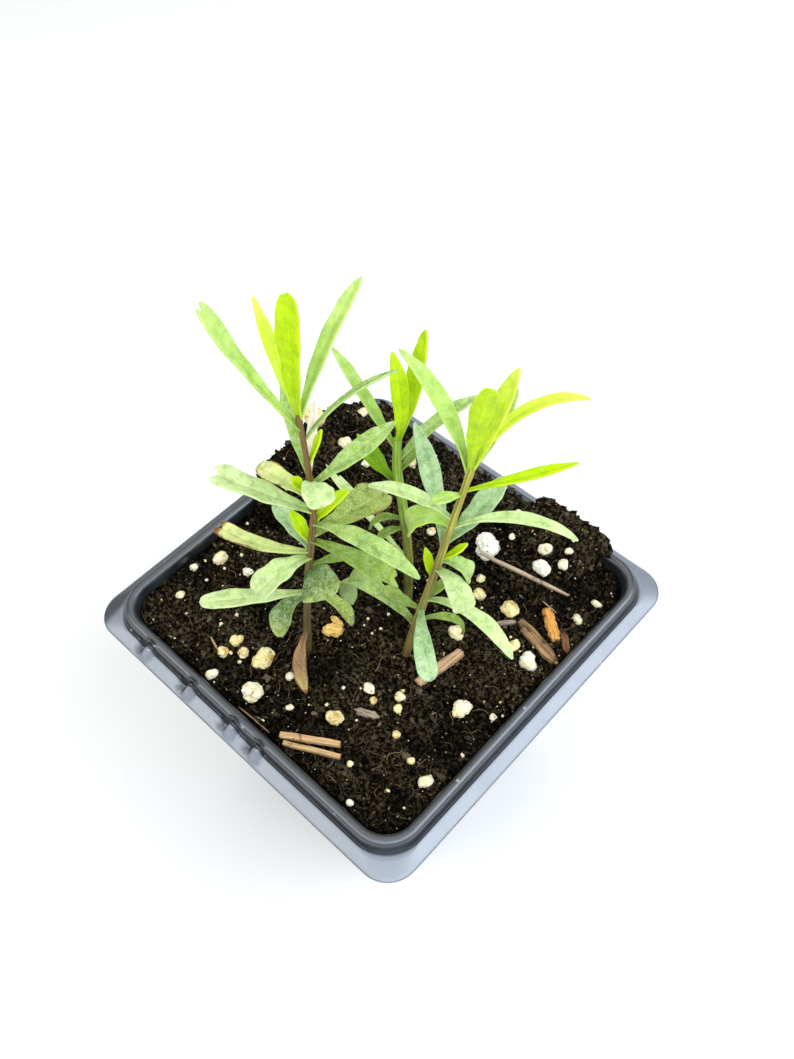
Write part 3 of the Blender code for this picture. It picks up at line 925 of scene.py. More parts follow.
@dataclass
class NurseryPot:
    """The square pot in one formed sheet: tapered cup, rolled bead, groove, sloping flange and lugs."""

    wall: float = 0.8
    floor_top: float = 2.4
    cup_height: float = 71.3
    foot_half: float = 27.5
    foot_corner: float = 5.0
    foot_round: float = 1.6
    mouth_half: float = 38.8
    corner: float = 6.2
    bead_drop: float = 1.3
    bead_corner_growth: float = 0.85
    groove_half: float = 41.2
    groove_corner: float = 8.3
    flange_corner: float = 6.6
    shoulder: tuple[tuple[float, float], ...] = (
        (41.14, -1.5), (41.18, -2.2), (41.24, -2.7), (41.38, -3.0), (41.56, -3.02), (41.78, -2.8),
        (41.95, -2.74), (42.4, -2.95), (43.2, -3.4), (44.0, -3.85), (44.3, -4.03), (44.5, -4.25),
    )
    lugs: tuple[float, ...] = (-27.0, -13.5, -0.8, 6.5)
    lug_half: float = 1.25
    lug_rise: float = 1.9
    lug_reach: tuple[float, float, float, float] = (40.5, 41.2, 42.6, 43.8)
    dip_offset: float = 2.3
    dip_half: float = 1.4
    dip_depth: float = 0.9
    # Painted shade: the hollows beside the front lugs get no painted sheen out to this reach.
    shaded_hollow_reach: tuple[float, float] = (42.6, 43.6)
    # Painted sheen: the pale painted reflection covers the flange from here, rounded at the corners.
    painted_sheen_corner: float = 33.0
    painted_sheen_start: tuple[float, float] = (41.7, 42.2)
    # Painted highlight: a faint pale band along the bead's crest, between these heights.
    crest: tuple[float, float] = (74.3, 75.0)
    crest_painted_highlight: float = 0.05
    # The -X side gets a dimmer painted sheen, as its flange reflects darker surroundings.
    dim_sheen_side: tuple[float, float] = (39.5, 41.2)
    dim_sheen_share: float = 0.85
    # Only faces turned up by more than this get the painted sheen.
    facing_up: float = 0.3
    drain_radius: float = 3.5
    drain_reach: float = 17.0
    side_points: int = 110
    corner_points: int = 14

    def outline(self, half: float, corner: float, height: float) -> list[Vector]:
        """One rounded square, anticlockwise from above.

        Args:
            half: Half its width.
            corner: Corner radius.
            height: Height over the foot.

        Returns:
            Its points in metres.
        """
        flat = half - corner
        points = []
        for quarter in range(4):
            turn = Matrix.Rotation(math.radians(90 * quarter), 3, "Z")
            for step in range(self.side_points):
                points.append(turn @ Vector((half, -flat + 2 * flat * step / self.side_points, height)))
            for step in range(self.corner_points):
                angle = 0.5 * math.pi * step / self.corner_points
                x, y = flat + corner * math.cos(angle), flat + corner * math.sin(angle)
                points.append(turn @ Vector((x, y, height)))
        return [self.form_lug(point, half) * MM for point in points]

    def form_lug(self, point: Vector, half: float) -> Vector:
        """Raise the lugs out of the groove on the front side, each with a dip beside it.

        Args:
            point: A point of the sheet.
            half: Half-width of the ring that it is on.

        Returns:
            The point, raised or lowered.
        """
        low, start, end, high = self.lug_reach
        if point.y > -low or not low < half < high:
            return point
        across = smooth_step(low, start, half) * (1 - smooth_step(end, high, half))
        for place in self.lugs:
            bump = math.exp(-(((point.x - place) / self.lug_half) ** 4))
            dip = math.exp(-(((point.x - place + self.dip_offset) / self.dip_half) ** 2))
            outside = smooth_step(start, start + 0.5, half)
            point.z += across * (self.lug_rise * bump - self.dip_depth * dip * outside)
        return point

    def profile(self) -> list[tuple[float, float, float]]:
        """The sheet's upper face from the foot to the flange's edge.

        Returns:
            Half-width, corner radius and height of each ring.
        """
        rings = []
        for angle in range(0, 91, 18):
            turn = math.radians(angle)
            inset = self.foot_round * (1 - math.sin(turn))
            rings.append((self.foot_half - inset, self.foot_corner + self.foot_round - inset,
                          self.wall + self.foot_round * (1 - math.cos(turn))))
        lip = RIM - self.bead_drop
        for share in (0.25, 0.5, 0.75):
            rings.append((self.foot_half + share * (self.mouth_half - self.foot_half),
                          self.foot_corner + self.foot_round,
                          self.floor_top + share * (lip - self.floor_top)))
        half_bead = 0.5 * (self.groove_half - self.mouth_half)
        for angle in range(0, 166, 15):
            turn = math.radians(angle)
            out = half_bead * (1 - math.cos(turn))
            rings.append((self.mouth_half + out, self.corner + self.bead_corner_growth * out,
                          lip + self.bead_drop * math.sin(turn)))
        first, last = self.shoulder[0][0], self.shoulder[-1][0]
        for half, drop in self.shoulder:
            share = (half - first) / (last - first)
            corner = self.groove_corner + share * (self.flange_corner - self.groove_corner)
            rings.append((half, corner, RIM + drop))
        return rings

    def shape_sheet(self) -> Object:
        """Extrude the sheet ring by ring from its floor.

        Returns:
            The open sheet, facing in and up.
        """
        rings = [self.outline(*ring) for ring in self.profile()]
        deselect_all()
        bpy.ops.mesh.primitive_circle_add(vertices=len(rings[0]), radius=1.0, fill_type="NGON")
        sheet = name_piece("nursery_pot")
        bpy.ops.object.mode_set(mode="EDIT")
        bpy.ops.mesh.select_mode(type="FACE")
        shape = bmesh.from_edit_mesh(sheet.data)
        order = shape.verts.layers.int.new("order")
        shape.faces.ensure_lookup_table()
        for index, vert in enumerate(shape.faces[0].verts):
            vert[order] = index
            vert.co = rings[0][index]
        bmesh.update_edit_mesh(sheet.data)
        for ring in rings[1:]:
            bpy.ops.mesh.extrude_region_move()
            shape = bmesh.from_edit_mesh(sheet.data)
            order = shape.verts.layers.int["order"]
            top = next(face for face in shape.faces if face.select)
            for vert in top.verts:
                vert.co = ring[vert[order]]
            bmesh.update_edit_mesh(sheet.data)
        bpy.ops.mesh.delete(type="ONLY_FACE")
        bpy.ops.mesh.select_all(action="SELECT")
        bpy.ops.mesh.normals_make_consistent(inside=False)
        shape = bmesh.from_edit_mesh(sheet.data)
        floor = max(shape.faces, key=lambda face: len(face.verts))
        if floor.normal.z < 0:
            bpy.ops.mesh.flip_normals()
        bpy.ops.object.mode_set(mode="OBJECT")
        return sheet

    def cut_drains(self, pot: Object) -> None:
        """Cut the four drain holes in the foot.

        Args:
            pot: The pot, with its wall thickness.
        """
        cutters = []
        for quarter in range(4):
            turn = math.radians(90 * quarter)
            reach = self.drain_reach * MM
            deselect_all()
            bpy.ops.mesh.primitive_cylinder_add(
                vertices=32, radius=self.drain_radius * MM, depth=6 * self.wall * MM,
                location=(reach * math.cos(turn), reach * math.sin(turn), 0.0))
            cutters.append(name_piece("drain"))
        cutter = join_pieces("drains", cutters)
        cut = pot.modifiers.new("drains", "BOOLEAN")
        cut.object = cutter
        cut.operation = "DIFFERENCE"
        apply_modifiers(pot)
        bpy.data.objects.remove(cutter)

    def painted_sheen_at(self, place: Vector) -> float:
        """How much painted sheen, the lamps' pale reflection painted into the colour, lies on a point of the
        sheet's upper face.

        Args:
            place: The point, in millimetres.

        Returns:
            A share from 0 to 1.
        """
        # The painted sheen starts past the groove and follows the flange's rounded corners.
        over = [max(abs(value) - self.painted_sheen_corner, 0.0) for value in place[:2]]
        flange = smooth_step(*self.painted_sheen_start, self.painted_sheen_corner + math.hypot(*over))
        # Painted shade: the painted sheen is taken out of the hollows beside the front lugs, leaving them
        # dark.
        if place.y < -self.lug_reach[0]:
            outside = 1 - smooth_step(*self.shaded_hollow_reach, -place.y)
            for lug in self.lugs:
                hollow_shade = math.exp(-(((place.x - lug + self.dip_offset) / self.dip_half) ** 4))
                flange *= 1.0 - hollow_shade * outside
        # A faint painted highlight on the bead's crest, and a dimmer painted sheen on the -X side.
        crest = self.crest_painted_highlight * smooth_step(*self.crest, place.z)
        dim_sheen = 1.0 - self.dim_sheen_share * smooth_step(*self.dim_sheen_side, -place.x)
        return max(flange, crest) * dim_sheen

    def paint_sheen(self, pot: Object) -> None:
        """Store the painted sheen at each corner of the pot, for its finish to read; corners that face down
        get none.

        Args:
            pot: The pot.
        """
        # Corners that face down get no painted sheen, as they catch no reflection of the lamps.
        values = [self.painted_sheen_at(vert.co / MM) if vert.normal.z > self.facing_up else 0.0
                  for vert in pot.data.vertices]
        store_values(pot, "painted_sheen", values)

    def build(self, finish: Material) -> None:
        """Build the pot.

        Args:
            finish: Its plastic.
        """
        pot = self.shape_sheet()
        wall = pot.modifiers.new("wall", "SOLIDIFY")
        wall.thickness = self.wall * MM
        wall.offset = -1.0
        wall.use_even_offset = True
        apply_modifiers(pot)
        self.cut_drains(pot)
        self.paint_sheen(pot)
        select_only(pot)
        bpy.ops.object.shade_smooth_by_angle(angle=math.radians(40))
        finish_piece(pot, finish, "black_plastic", "pot")


@dataclass
class RootBall:
    """The peat: a heaped, crumbly top over sides that follow the pot, with crumbs and fibres on it."""

    pot: NurseryPot
    drop: float = 3.6
    heap_rise: float = 11.0
    heap_right: tuple[tuple[float, float], ...] = ((-34, -20), (8, 14), (27, 32), (12, 38))
    heap_right_foot: float = 0.38
    heap_left: tuple[tuple[float, float], ...] = ((-3, 4), (24, 37), (14, 37))
    heap_left_rise: float = 1.1
    heap_left_fall: float = 0.6
    knoll: tuple[float, float, float, float] = (-36.5, 17.0, 5.5, 3.8)
    clods: tuple[tuple[float, float, float], ...] = ((0.9, 6.0, 1.5), (0.45, 2.6, 7.5))
    crumbs: tuple[tuple[float, float, float], ...] = ((0.55, 1.7, 3.1), (0.50, 0.8, 9.7), (0.30, 0.42, 5.3))
    crumb_peak: float = 2.2
    crumb_base: float = 0.6
    wall_gap: float = 0.4
    spill: float = 2.4
    spill_start: float = 0.8
    spill_rise: float = 3.0
    spill_edge: tuple[float, float] = (0.86, 1.0)
    round_edge: tuple[float, float] = (0.93, 1.0)
    round_share: float = 0.45
    side_rings: tuple[tuple[float, float], ...] = ((72.5, 0.4), (67.5, 0.4), (2.8, 0.4), (1.2, 2.0))
    cells: int = 300
    crumb_size: tuple[float, float] = (0.4, 1.4)
    spilled_size: tuple[float, float] = (0.6, 1.3)
    fibre_size: tuple[float, float] = (0.9, 3.6)
    loose_crumbs: int = 2600
    spilled_crumbs: int = 1100
    spilled_drop: float = 0.6
    loose_fibres: int = 2400
    draw: random.Random = field(default_factory=lambda: random.Random(41))

    def lie(self, x: float, y: float) -> float:
        """Height of the peat without its fine crumbs.

        Args:
            x: Place along X.
            y: Place along Y.

        Returns:
            Height over the rim's crest.
        """
        low, swell, fall, side = self.heap_right
        share = self.heap_right_foot
        right = share * smooth_step(*low, x) + (1 - share) * smooth_step(*swell, x)
        right *= (1 - smooth_step(*fall, x)) * smooth_step(*side, y)
        swell, fall, side = self.heap_left
        left = smooth_step(*swell, y) * (1 - self.heap_left_fall * smooth_step(*fall, y))
        left *= smooth_step(*side, -x)
        height = -self.drop + self.heap_rise * max(right, self.heap_left_rise * left)
        knoll_x, knoll_y, reach, rise = self.knoll
        height += rise * math.exp(-((x - knoll_x) ** 2 + (y - knoll_y) ** 2) / reach ** 2)
        for size, scale, seed in self.clods:
            height += size * noise.noise(Vector((x / scale, y / scale, seed)))
        return height

    def top(self, x: float, y: float) -> float:
        """Height of the peat with its fine crumbs.

        Args:
            x: Place along X.
            y: Place along Y.

        Returns:
            Height over the rim's crest.
        """
        height = self.lie(x, y)
        for size, scale, seed in self.crumbs:
            bump = abs(noise.noise(Vector((x / scale, y / scale, seed))))
            height += size * (self.crumb_peak * bump - self.crumb_base)
        return height

    def inside(self, height: float, inset: float) -> tuple[float, float]:
        """The pot's inside at a height.

        Args:
            height: Height over the foot.
            inset: How far in from the wall.

        Returns:
            Half-width and corner radius.
        """
        pot = self.pot
        share = min(max((height - pot.floor_top) / pot.cup_height, 0.0), 1.0)
        return pot.foot_half + share * (pot.mouth_half - pot.foot_half) - inset, pot.corner - inset

    @staticmethod
    def stretch(u: float, v: float, half: float, corner: float) -> tuple[float, float]:
        """Place a point of a square in a rounded one.

        Args:
            u: Share along X, from -1 to 1.
            v: Share along Y.
            half: Half-width of the rounded square.
            corner: Its corner radius.

        Returns:
            The place along X and Y.
        """
        across, along = sorted((abs(u), abs(v)))
        reach = 1.0
        if along > 1e-9 and across / along > (half - corner) / half:
            slope = Vector((along, across)).normalized()
            centre = Vector((half - corner, half - corner))
            near = slope.dot(centre)
            far = near + math.sqrt(near * near - centre.length_squared + corner * corner)
            reach = far * slope.x / half
        return u * reach * half, v * reach * half

    def place_top(self, point: Vector) -> Vector:
        """Place one corner of the top.

        Args:
            point: A corner of the flat grid.

        Returns:
            Its place over the foot.
        """
        half, corner = self.inside(RIM, self.wall_gap)
        x, y = self.stretch(point.x, point.y, half, corner)
        edge = max(abs(point.x), abs(point.y))
        height = self.top(x, y)
        proud = max(height + self.spill_start, 0.0)
        over = smooth_step(0.0, self.spill_rise, proud)
        grow = 1.0 + self.spill / half * over * smooth_step(*self.spill_edge, edge)
        height -= self.round_share * proud * smooth_step(*self.round_edge, edge) ** 2
        return Vector((x * grow, y * grow, RIM + height))

    def shape_body(self) -> Object:
        """Shape the peat's top and draw its sides down to the foot.

        Returns:
            The closed body.
        """
        body = add_sheet("peat", self.cells, self.cells)
        reshape(body, self.place_top)
        select_only(body)
        bpy.ops.object.mode_set(mode="EDIT")
        bpy.ops.mesh.select_mode(type="EDGE")
        bpy.ops.mesh.select_all(action="DESELECT")
        bpy.ops.mesh.select_non_manifold()
        for height, inset in self.side_rings:
            bpy.ops.mesh.extrude_edges_move()
            shape = bmesh.from_edit_mesh(body.data)
            half, corner = self.inside(height, inset)
            for vert in (item for item in shape.verts if item.select):
                widest = max(abs(vert.co.x), abs(vert.co.y))
                x, y = self.stretch(vert.co.x / widest, vert.co.y / widest, half, corner)
                vert.co = Vector((x, y, height)) * MM
            bmesh.update_edit_mesh(body.data)
        bpy.ops.mesh.edge_face_add()
        bpy.ops.mesh.select_all(action="SELECT")
        bpy.ops.mesh.normals_make_consistent(inside=False)
        bpy.ops.object.mode_set(mode="OBJECT")
        bpy.ops.object.shade_smooth_by_angle(angle=math.radians(60))
        return body

    def crumb_models(self) -> list[Object]:
        """A few lumpy crumbs about 1 mm across.

        Returns:
            The models.
        """
        models = []
        for seed in range(5):
            crumb = add_ball("crumb", 1)

            def crumble(at: Vector, seed: int = seed) -> Vector:
                """Flatten the ball into an uneven flake."""
                reach = 0.5 * (1.0 + 1.1 * crumple(at, 0.7, 10.0 * seed))
                return reach * Vector((1.2 * at.x, (0.55 + 0.12 * seed) * at.y, 0.5 * at.z))

            reshape(crumb, crumble)
            models.append(crumb)
        return models

    def fibre_models(self) -> list[Object]:
        """A few thin curved fibres about 1 unit long.

        Returns:
            The models.
        """
        models = []
        for seed in range(6):
            fibre = add_sheet("fibre", 3, 7)

            def curl(at: Vector, seed: int = seed) -> Vector:
                """Roll the sheet into a thread that wanders."""
                turn = math.pi * at.x
                share = 0.5 * (at.y + 1.0)
                thin = 0.020 * (1.0 - 0.6 * share)
                bend = Vector((share - 0.5, 0.3 * crumple(Vector((share, 0.0, 0.0)), 0.5, 3.7 * seed),
                               0.10 * math.sin(math.pi * share) * (1 + seed % 3)))
                return bend + Vector((0.0, thin * math.cos(turn), thin * math.sin(turn)))

            reshape(fibre, curl)
            close_roll(fibre)
            models.append(fibre)
        return models

    def random_place(self, inset: float) -> tuple[float, float]:
        """A place on the peat.

        Args:
            inset: How far in from the wall.

        Returns:
            The place along X and Y.
        """
        half, corner = self.inside(RIM, self.wall_gap + inset)
        return self.stretch(self.draw.uniform(-1, 1), self.draw.uniform(-1, 1), half, max(corner, 1.0))

    def lay(self, x: float, y: float, size: float, sunk: float, flat: bool = False) -> Matrix:
        """Place and turn a copy on the peat.

        Args:
            x: Place along X.
            y: Place along Y.
            size: How large it is made.
            sunk: How far its centre is below the surface, in millimetres.
            flat: Whether it only turns about Z and lies along the slope.

        Returns:
            The copy's matrix.
        """
        z = RIM + self.top(x, y) - sunk
        if flat:
            angle = self.draw.uniform(0, 2 * math.pi)
            reach = 0.35 * size
            rise = self.lie(x + reach * math.cos(angle), y + reach * math.sin(angle))
            rise -= self.lie(x - reach * math.cos(angle), y - reach * math.sin(angle))
            tilt = math.atan2(rise, 2 * reach)
            turn = Matrix.Rotation(angle, 4, "Z") @ Matrix.Rotation(-tilt, 4, "Y")
        else:
            turn = Matrix.Rotation(self.draw.uniform(0, 2 * math.pi), 4, "X")
            turn @= Matrix.Rotation(self.draw.uniform(0, 2 * math.pi), 4, "Z")
        return Matrix.Translation(Vector((x, y, z)) * MM) @ turn @ Matrix.Diagonal((size, size, size, 1.0))

    def build(self, peat: Material, hair: Material) -> None:
        """Build the peat, its loose crumbs and its fibres.

        Args:
            peat: Finish of the peat.
            hair: Finish of the fibres.
        """
        body = self.shape_body()
        store_values(body, "tone", [0.0] * len(body.data.vertices))
        finish_piece(body, peat, "peat_soil", "soil")
        crumbs = []
        least, more = self.crumb_size
        for _ in range(self.loose_crumbs):
            x, y = self.random_place(0.6)
            size = least + more * self.draw.random() ** 3
            crumbs.append((self.lay(x, y, size, 0.1 * size), 0.55 * self.draw.random() ** 5))
        least, more = self.spilled_size
        for _ in range(self.spilled_crumbs):
            u, v = self.draw.choice(((-1.0, self.draw.uniform(-1, 1)), (self.draw.uniform(-1, 1), 1.0)))
            share = self.draw.uniform(0.93, 1.0)
            spot = self.place_top(Vector((u * share, v * share, 0.0)))
            if spot.z > RIM - self.spilled_drop:
                size = least + more * self.draw.random() ** 2
                turn = Matrix.Rotation(self.draw.uniform(0, 2 * math.pi), 4, "X")
                place = Matrix.Translation(spot * MM) @ turn @ Matrix.Diagonal((size, size, size, 1.0))
                crumbs.append((place, 0.35 * self.draw.random() ** 5))
        loose = place_copies("peat_crumbs", self.crumb_models(), crumbs, self.draw)
        finish_piece(loose, peat, "peat_soil")
        fibres = []
        least, more = self.fibre_size
        for _ in range(self.loose_fibres):
            x, y = self.random_place(1.2)
            size = least + more * self.draw.random() ** 2
            fibres.append((self.lay(x, y, size, 0.0, flat=True), self.draw.random() ** 2))
        threads = place_copies("peat_fibres", self.fibre_models(), fibres, self.draw)
        finish_piece(threads, hair, "peat_soil")


class GrainRow(NamedTuple):
    """One grain on the peat: place, size, and tone from white to yellow."""

    x: float
    y: float
    width: float
    depth: float
    height: float
    tone: float


GRAINS = (
    GrainRow(9.9, 23.7, 6.3, 5.5, 4.8, 0.0), GrainRow(21.4, 29.0, 2.8, 2.8, 3.4, 0.35),
    GrainRow(23.1, 25.7, 4.4, 3.2, 3.0, 0.15), GrainRow(26.6, 28.4, 2.6, 2.6, 2.2, 0.3),
    GrainRow(33.2, 9.6, 4.2, 4.0, 3.4, 0.25), GrainRow(28.6, 10.2, 2.4, 3.6, 2.4, 0.7),
    GrainRow(22.8, 16.2, 4.0, 3.7, 3.0, 0.85), GrainRow(15.2, 15.0, 2.9, 2.7, 2.4, 0.9),
    GrainRow(11.3, 33.2, 2.9, 1.8, 1.7, 0.55), GrainRow(34.5, 24.4, 2.6, 2.3, 2.0, 0.4),
    GrainRow(29.9, -8.1, 3.6, 4.6, 2.8, 0.35), GrainRow(13.1, -17.2, 2.9, 2.2, 2.0, 0.4),
    GrainRow(12.2, -26.3, 3.6, 3.2, 2.8, 0.9), GrainRow(34.8, -24.0, 2.6, 3.4, 2.6, 0.45),
    GrainRow(-7.9, -27.1, 4.0, 5.4, 4.0, 0.9), GrainRow(-4.2, -33.6, 4.8, 4.4, 3.6, 0.45),
    GrainRow(-15.8, -27.6, 2.5, 3.0, 2.4, 1.0), GrainRow(-12.4, -28.8, 2.5, 2.5, 2.0, 0.75),
    GrainRow(-34.2, -16.3, 2.8, 3.8, 3.0, 0.55), GrainRow(-26.9, -14.5, 2.8, 2.2, 2.0, 0.2),
    GrainRow(-30.4, 20.7, 3.8, 3.2, 2.6, 0.5), GrainRow(-19.0, 30.9, 2.7, 2.7, 2.4, 0.45),
    GrainRow(-37.0, 18.6, 5.2, 5.0, 5.6, 0.8), GrainRow(17.9, 4.4, 3.6, 3.2, 2.4, 0.65),
)
SMALL_GRAINS = (
    GrainRow(13.2, 17.9, 2.0, 2.0, 1.6, 0.6), GrainRow(35.3, 30.0, 2.6, 1.7, 1.5, 0.4),
    GrainRow(35.7, -5.0, 1.6, 1.6, 1.3, 0.3), GrainRow(18.9, -14.2, 2.2, 2.2, 1.8, 0.5),
    GrainRow(20.3, -16.3, 2.0, 2.0, 1.6, 0.9), GrainRow(23.8, -20.7, 1.8, 1.8, 1.5, 0.8),
    GrainRow(-1.0, -26.1, 1.9, 1.9, 1.5, 0.3), GrainRow(-16.0, -31.4, 2.5, 2.3, 1.9, 0.9),
    GrainRow(-13.4, -36.6, 2.2, 3.0, 1.8, 0.2), GrainRow(-36.9, -21.7, 2.0, 2.0, 1.6, 0.3),
    GrainRow(-33.3, -28.4, 2.2, 2.2, 1.7, 0.5), GrainRow(-25.1, 21.9, 2.1, 2.1, 1.6, 0.2),
    GrainRow(-3.4, 20.2, 2.3, 2.3, 1.8, 0.5), GrainRow(26.9, -36.9, 1.5, 1.5, 1.2, 0.2),
    GrainRow(4.0, -30.9, 1.6, 1.6, 1.3, 0.4), GrainRow(29.7, -22.7, 1.6, 1.6, 1.3, 0.8),
    GrainRow(21.6, -31.4, 1.4, 1.4, 1.1, 0.6), GrainRow(25.9, 31.2, 1.7, 1.7, 1.3, 0.3),
    GrainRow(13.5, 27.7, 1.5, 1.5, 1.2, 0.3), GrainRow(15.6, -18.6, 1.6, 1.6, 1.3, 0.8),
    GrainRow(-35.5, 31.5, 2.5, 3.5, 2.0, 0.5),
)


@dataclass
class PerliteScatter:
    """Popped perlite on the peat: each larger grain a piece, and the small grains and specks in one."""

    peat: RootBall
    sunk: float = 0.2
    few_lobes: int = 4
    more_lobes: int = 6
    lobe_reach: tuple[float, float] = (0.28, 0.5)
    lobe_radius: tuple[float, float] = (0.54, 0.72)
    lumps: tuple[tuple[float, float, float], ...] = ((0.12, 0.5, 0.0), (0.09, 0.22, 9.0))
    crease: float = 0.09
    hollow_tone: float = 0.5
    large: float = 3.5
    specks: int = 260
    speck_size: tuple[float, float] = (0.2, 0.8)
    speck_tone: tuple[float, float] = (0.3, 1.0)
    draw: random.Random = field(default_factory=lambda: random.Random(17))

    def shape_grain(self, name: str, row: GrainRow, seed: float, fine: int) -> Object:
        """Model one popped, pitted grain in its place.

        Args:
            name: Its name.
            row: Its place and size.
            seed: Picks its lumps.
            fine: How often its sphere is divided.

        Returns:
            The grain.
        """
        grain = add_ball(name, fine)
        centre = Vector((row.x, row.y, RIM + self.peat.lie(row.x, row.y) + self.sunk * row.height))
        lobes = []
        for _ in range(self.few_lobes + round(row.tone * self.more_lobes)):
            away = Vector([self.draw.gauss(0.0, 1.0) for _ in range(3)]).normalized()
            away *= self.draw.uniform(*self.lobe_reach)
            lobes.append((away, self.draw.uniform(*self.lobe_radius)))
        tones = []
        popped = []
        for vert in grain.data.vertices:
            at = vert.co
            reaches = []
            for spot, radius in lobes:
                near = at.dot(spot)
                reaches.append(near + math.sqrt(near * near - spot.length_squared + radius * radius))
            reaches.sort()
            crease = smooth_step(self.crease, 0.0, reaches[-1] - reaches[-2])
            tones.append(min(row.tone + self.hollow_tone * crease, 1.0))
            reach = reaches[-1]
            for height, scale, shift in self.lumps:
                reach += height * crumple(at, scale, seed + shift)
            popped.append(reach * at)
        lows = [min(place[axis] for place in popped) for axis in range(3)]
        highs = [max(place[axis] for place in popped) for axis in range(3)]
        size = (row.width, row.depth, row.height)
        for vert, place in zip(grain.data.vertices, popped):
            share = [(place[axis] - lows[axis]) / (highs[axis] - lows[axis]) - 0.5 for axis in range(3)]
            vert.co = (centre + Vector([share[axis] * size[axis] for axis in range(3)])) * MM
        grain.data.update()
        store_values(grain, "tone", tones)
        bpy.ops.object.shade_smooth()
        return grain

    def build(self, finish: Material) -> None:
        """Build all the grains.

        Args:
            finish: Their finish.
        """
        for index, row in enumerate(GRAINS, start=1):
            fine = 5 if max(row.width, row.depth) > self.large else 4
            grain = self.shape_grain(f"popped_grain_{index:02d}", row, 3.3 * index, fine)
            finish_piece(grain, finish, "perlite", f"perlite_{index:02d}")
        small = [self.shape_grain("small_grain", row, 5.1 * index, 3)
                 for index, row in enumerate(SMALL_GRAINS)]
        models = []
        for seed in range(4):
            speck = add_ball("speck", 2)
            reshape(speck, lambda at, seed=seed: at * 0.5 * (1.0 + 0.6 * crumple(at, 0.7, 6.0 * seed)))
            models.append(speck)
        places = []
        least, more = self.speck_size
        for _ in range(self.specks):
            x, y = self.peat.random_place(1.0)
            size = least + more * self.draw.random() ** 4
            places.append((self.peat.lay(x, y, size, -0.05), self.draw.uniform(*self.speck_tone)))
        specks = place_copies("specks", models, places, self.draw)
        fine = join_pieces("fine_perlite", [*small, specks])
        select_only(fine)
        bpy.ops.object.shade_smooth()
        finish_piece(fine, finish, "perlite")


class Wood(Enum):
    """The kinds of wood and bark on the peat."""

    SPLIT = WoodFinish(
        "split_straw_wood", (0.82, 0.56, 0.29), (0.47, 0.27, 0.11), (0.18, 0.09, 0.035), 20.0, 0.6)
    TWIG = WoodFinish(
        "thin_twig_bark", (0.80, 0.62, 0.46), (0.46, 0.30, 0.19), (0.16, 0.10, 0.06), 20.0, 0.62)
    BARK = WoodFinish(
        "brown_bark", (0.44, 0.27, 0.13), (0.14, 0.075, 0.035), (0.05, 0.03, 0.018), 28.0, 0.47)
    ORANGE = WoodFinish(
        "orange_inner_bark", (0.86, 0.46, 0.12), (0.50, 0.19, 0.035), (0.03, 0.018, 0.01), 24.0, 0.49)
    CHIP = WoodFinish(
        "pale_wood_chip", (0.74, 0.50, 0.30), (0.36, 0.20, 0.10), (0.16, 0.08, 0.045), 24.0, 0.56)
    SLIVER = WoodFinish(
        "grey_bark_sliver", (0.42, 0.34, 0.26), (0.18, 0.13, 0.09), (0.07, 0.05, 0.035), 16.0, 0.6)
    SHARD = WoodFinish(
        "red_brown_shard", (0.30, 0.14, 0.07), (0.10, 0.04, 0.02), (0.05, 0.02, 0.012), 20.0, 0.55)
    BRACT = WoodFinish(
        "curled_dry_bract", (0.92, 0.66, 0.22), (0.70, 0.38, 0.08), (0.30, 0.13, 0.03), 16.0, 0.6)


class ChipRow(NamedTuple):
    """One piece of wood: its kind, ends, width, height, lift, how ragged it is and how its ends taper."""

    name: str
    wood: Wood
    start: tuple[float, float]
    end: tuple[float, float]
    width: float
    height: float
    lift: float
    ragged: float
    taper: float


CHIPS = (
    ChipRow("split_stick_upper", Wood.SPLIT, (7.2, -36.4), (17.6, -30.0), 1.25, 1.3, 0.3, 0.02, 0.05),
    ChipRow("split_stick_lower", Wood.SPLIT, (9.0, -37.2), (19.2, -31.6), 1.0, 1.3, 0.3, 0.02, 0.05),
    ChipRow("twig", Wood.TWIG, (10.8, 20.2), (30.9, 25.0), 0.75, 0.85, 0.95, 0.01, 0.45),
    ChipRow("bark_chip", Wood.BARK, (26.1, 15.4), (37.2, 12.9), 2.5, 1.8, 0.7, 0.09, 0.35),
    ChipRow("orange_bark", Wood.ORANGE, (28.9, 20.3), (34.6, 16.7), 2.2, 1.6, 0.6, 0.14, 0.3),
    ChipRow("wood_chip", Wood.CHIP, (19.6, -9.6), (21.6, 1.6), 2.2, 1.4, 0.3, 0.05, 0.1),
    ChipRow("bark_sliver", Wood.SLIVER, (13.9, -22.6), (18.9, -20.3), 1.5, 0.9, 0.2, 0.08, 0.6),
)
# Smaller bits that lie among them
LOOSE_BITS = (
    ChipRow("pale_splinter", Wood.SPLIT, (34.0, 13.9), (38.0, 12.8), 0.8, 0.6, 0.5, 0.06, 0.3),
    ChipRow("orange_branch", Wood.ORANGE, (33.0, 19.1), (35.9, 18.1), 0.7, 0.7, 0.3, 0.04, 0.4),
    ChipRow("red_shard", Wood.SHARD, (34.4, 19.3), (38.0, 16.4), 1.4, 0.9, 0.4, 0.10, 0.6),
    ChipRow("short_twig", Wood.SLIVER, (22.4, 11.7), (25.4, 14.9), 1.0, 0.9, 0.3, 0.05, 0.3),
    ChipRow("pale_hair", Wood.TWIG, (27.5, 20.9), (30.8, 21.7), 0.25, 0.2, 0.5, 0.01, 0.5),
    ChipRow("root_hair", Wood.CHIP, (-3.5, -37.8), (5.2, -37.5), 0.3, 0.25, 0.5, 0.01, 0.5),
    ChipRow("dry_bract", Wood.BRACT, (-0.1, -11.6), (-3.6, -13.8), 2.6, 1.6, 0.8, 0.12, 0.4),
    ChipRow("bract_curl", Wood.BRACT, (-1.0, -10.6), (-4.6, -10.4), 1.3, 1.0, 0.8, 0.14, 0.5),
    ChipRow("thin_straw", Wood.SPLIT, (-20.6, -30.8), (-17.2, -31.9), 0.4, 0.35, 0.4, 0.03, 0.4),
)


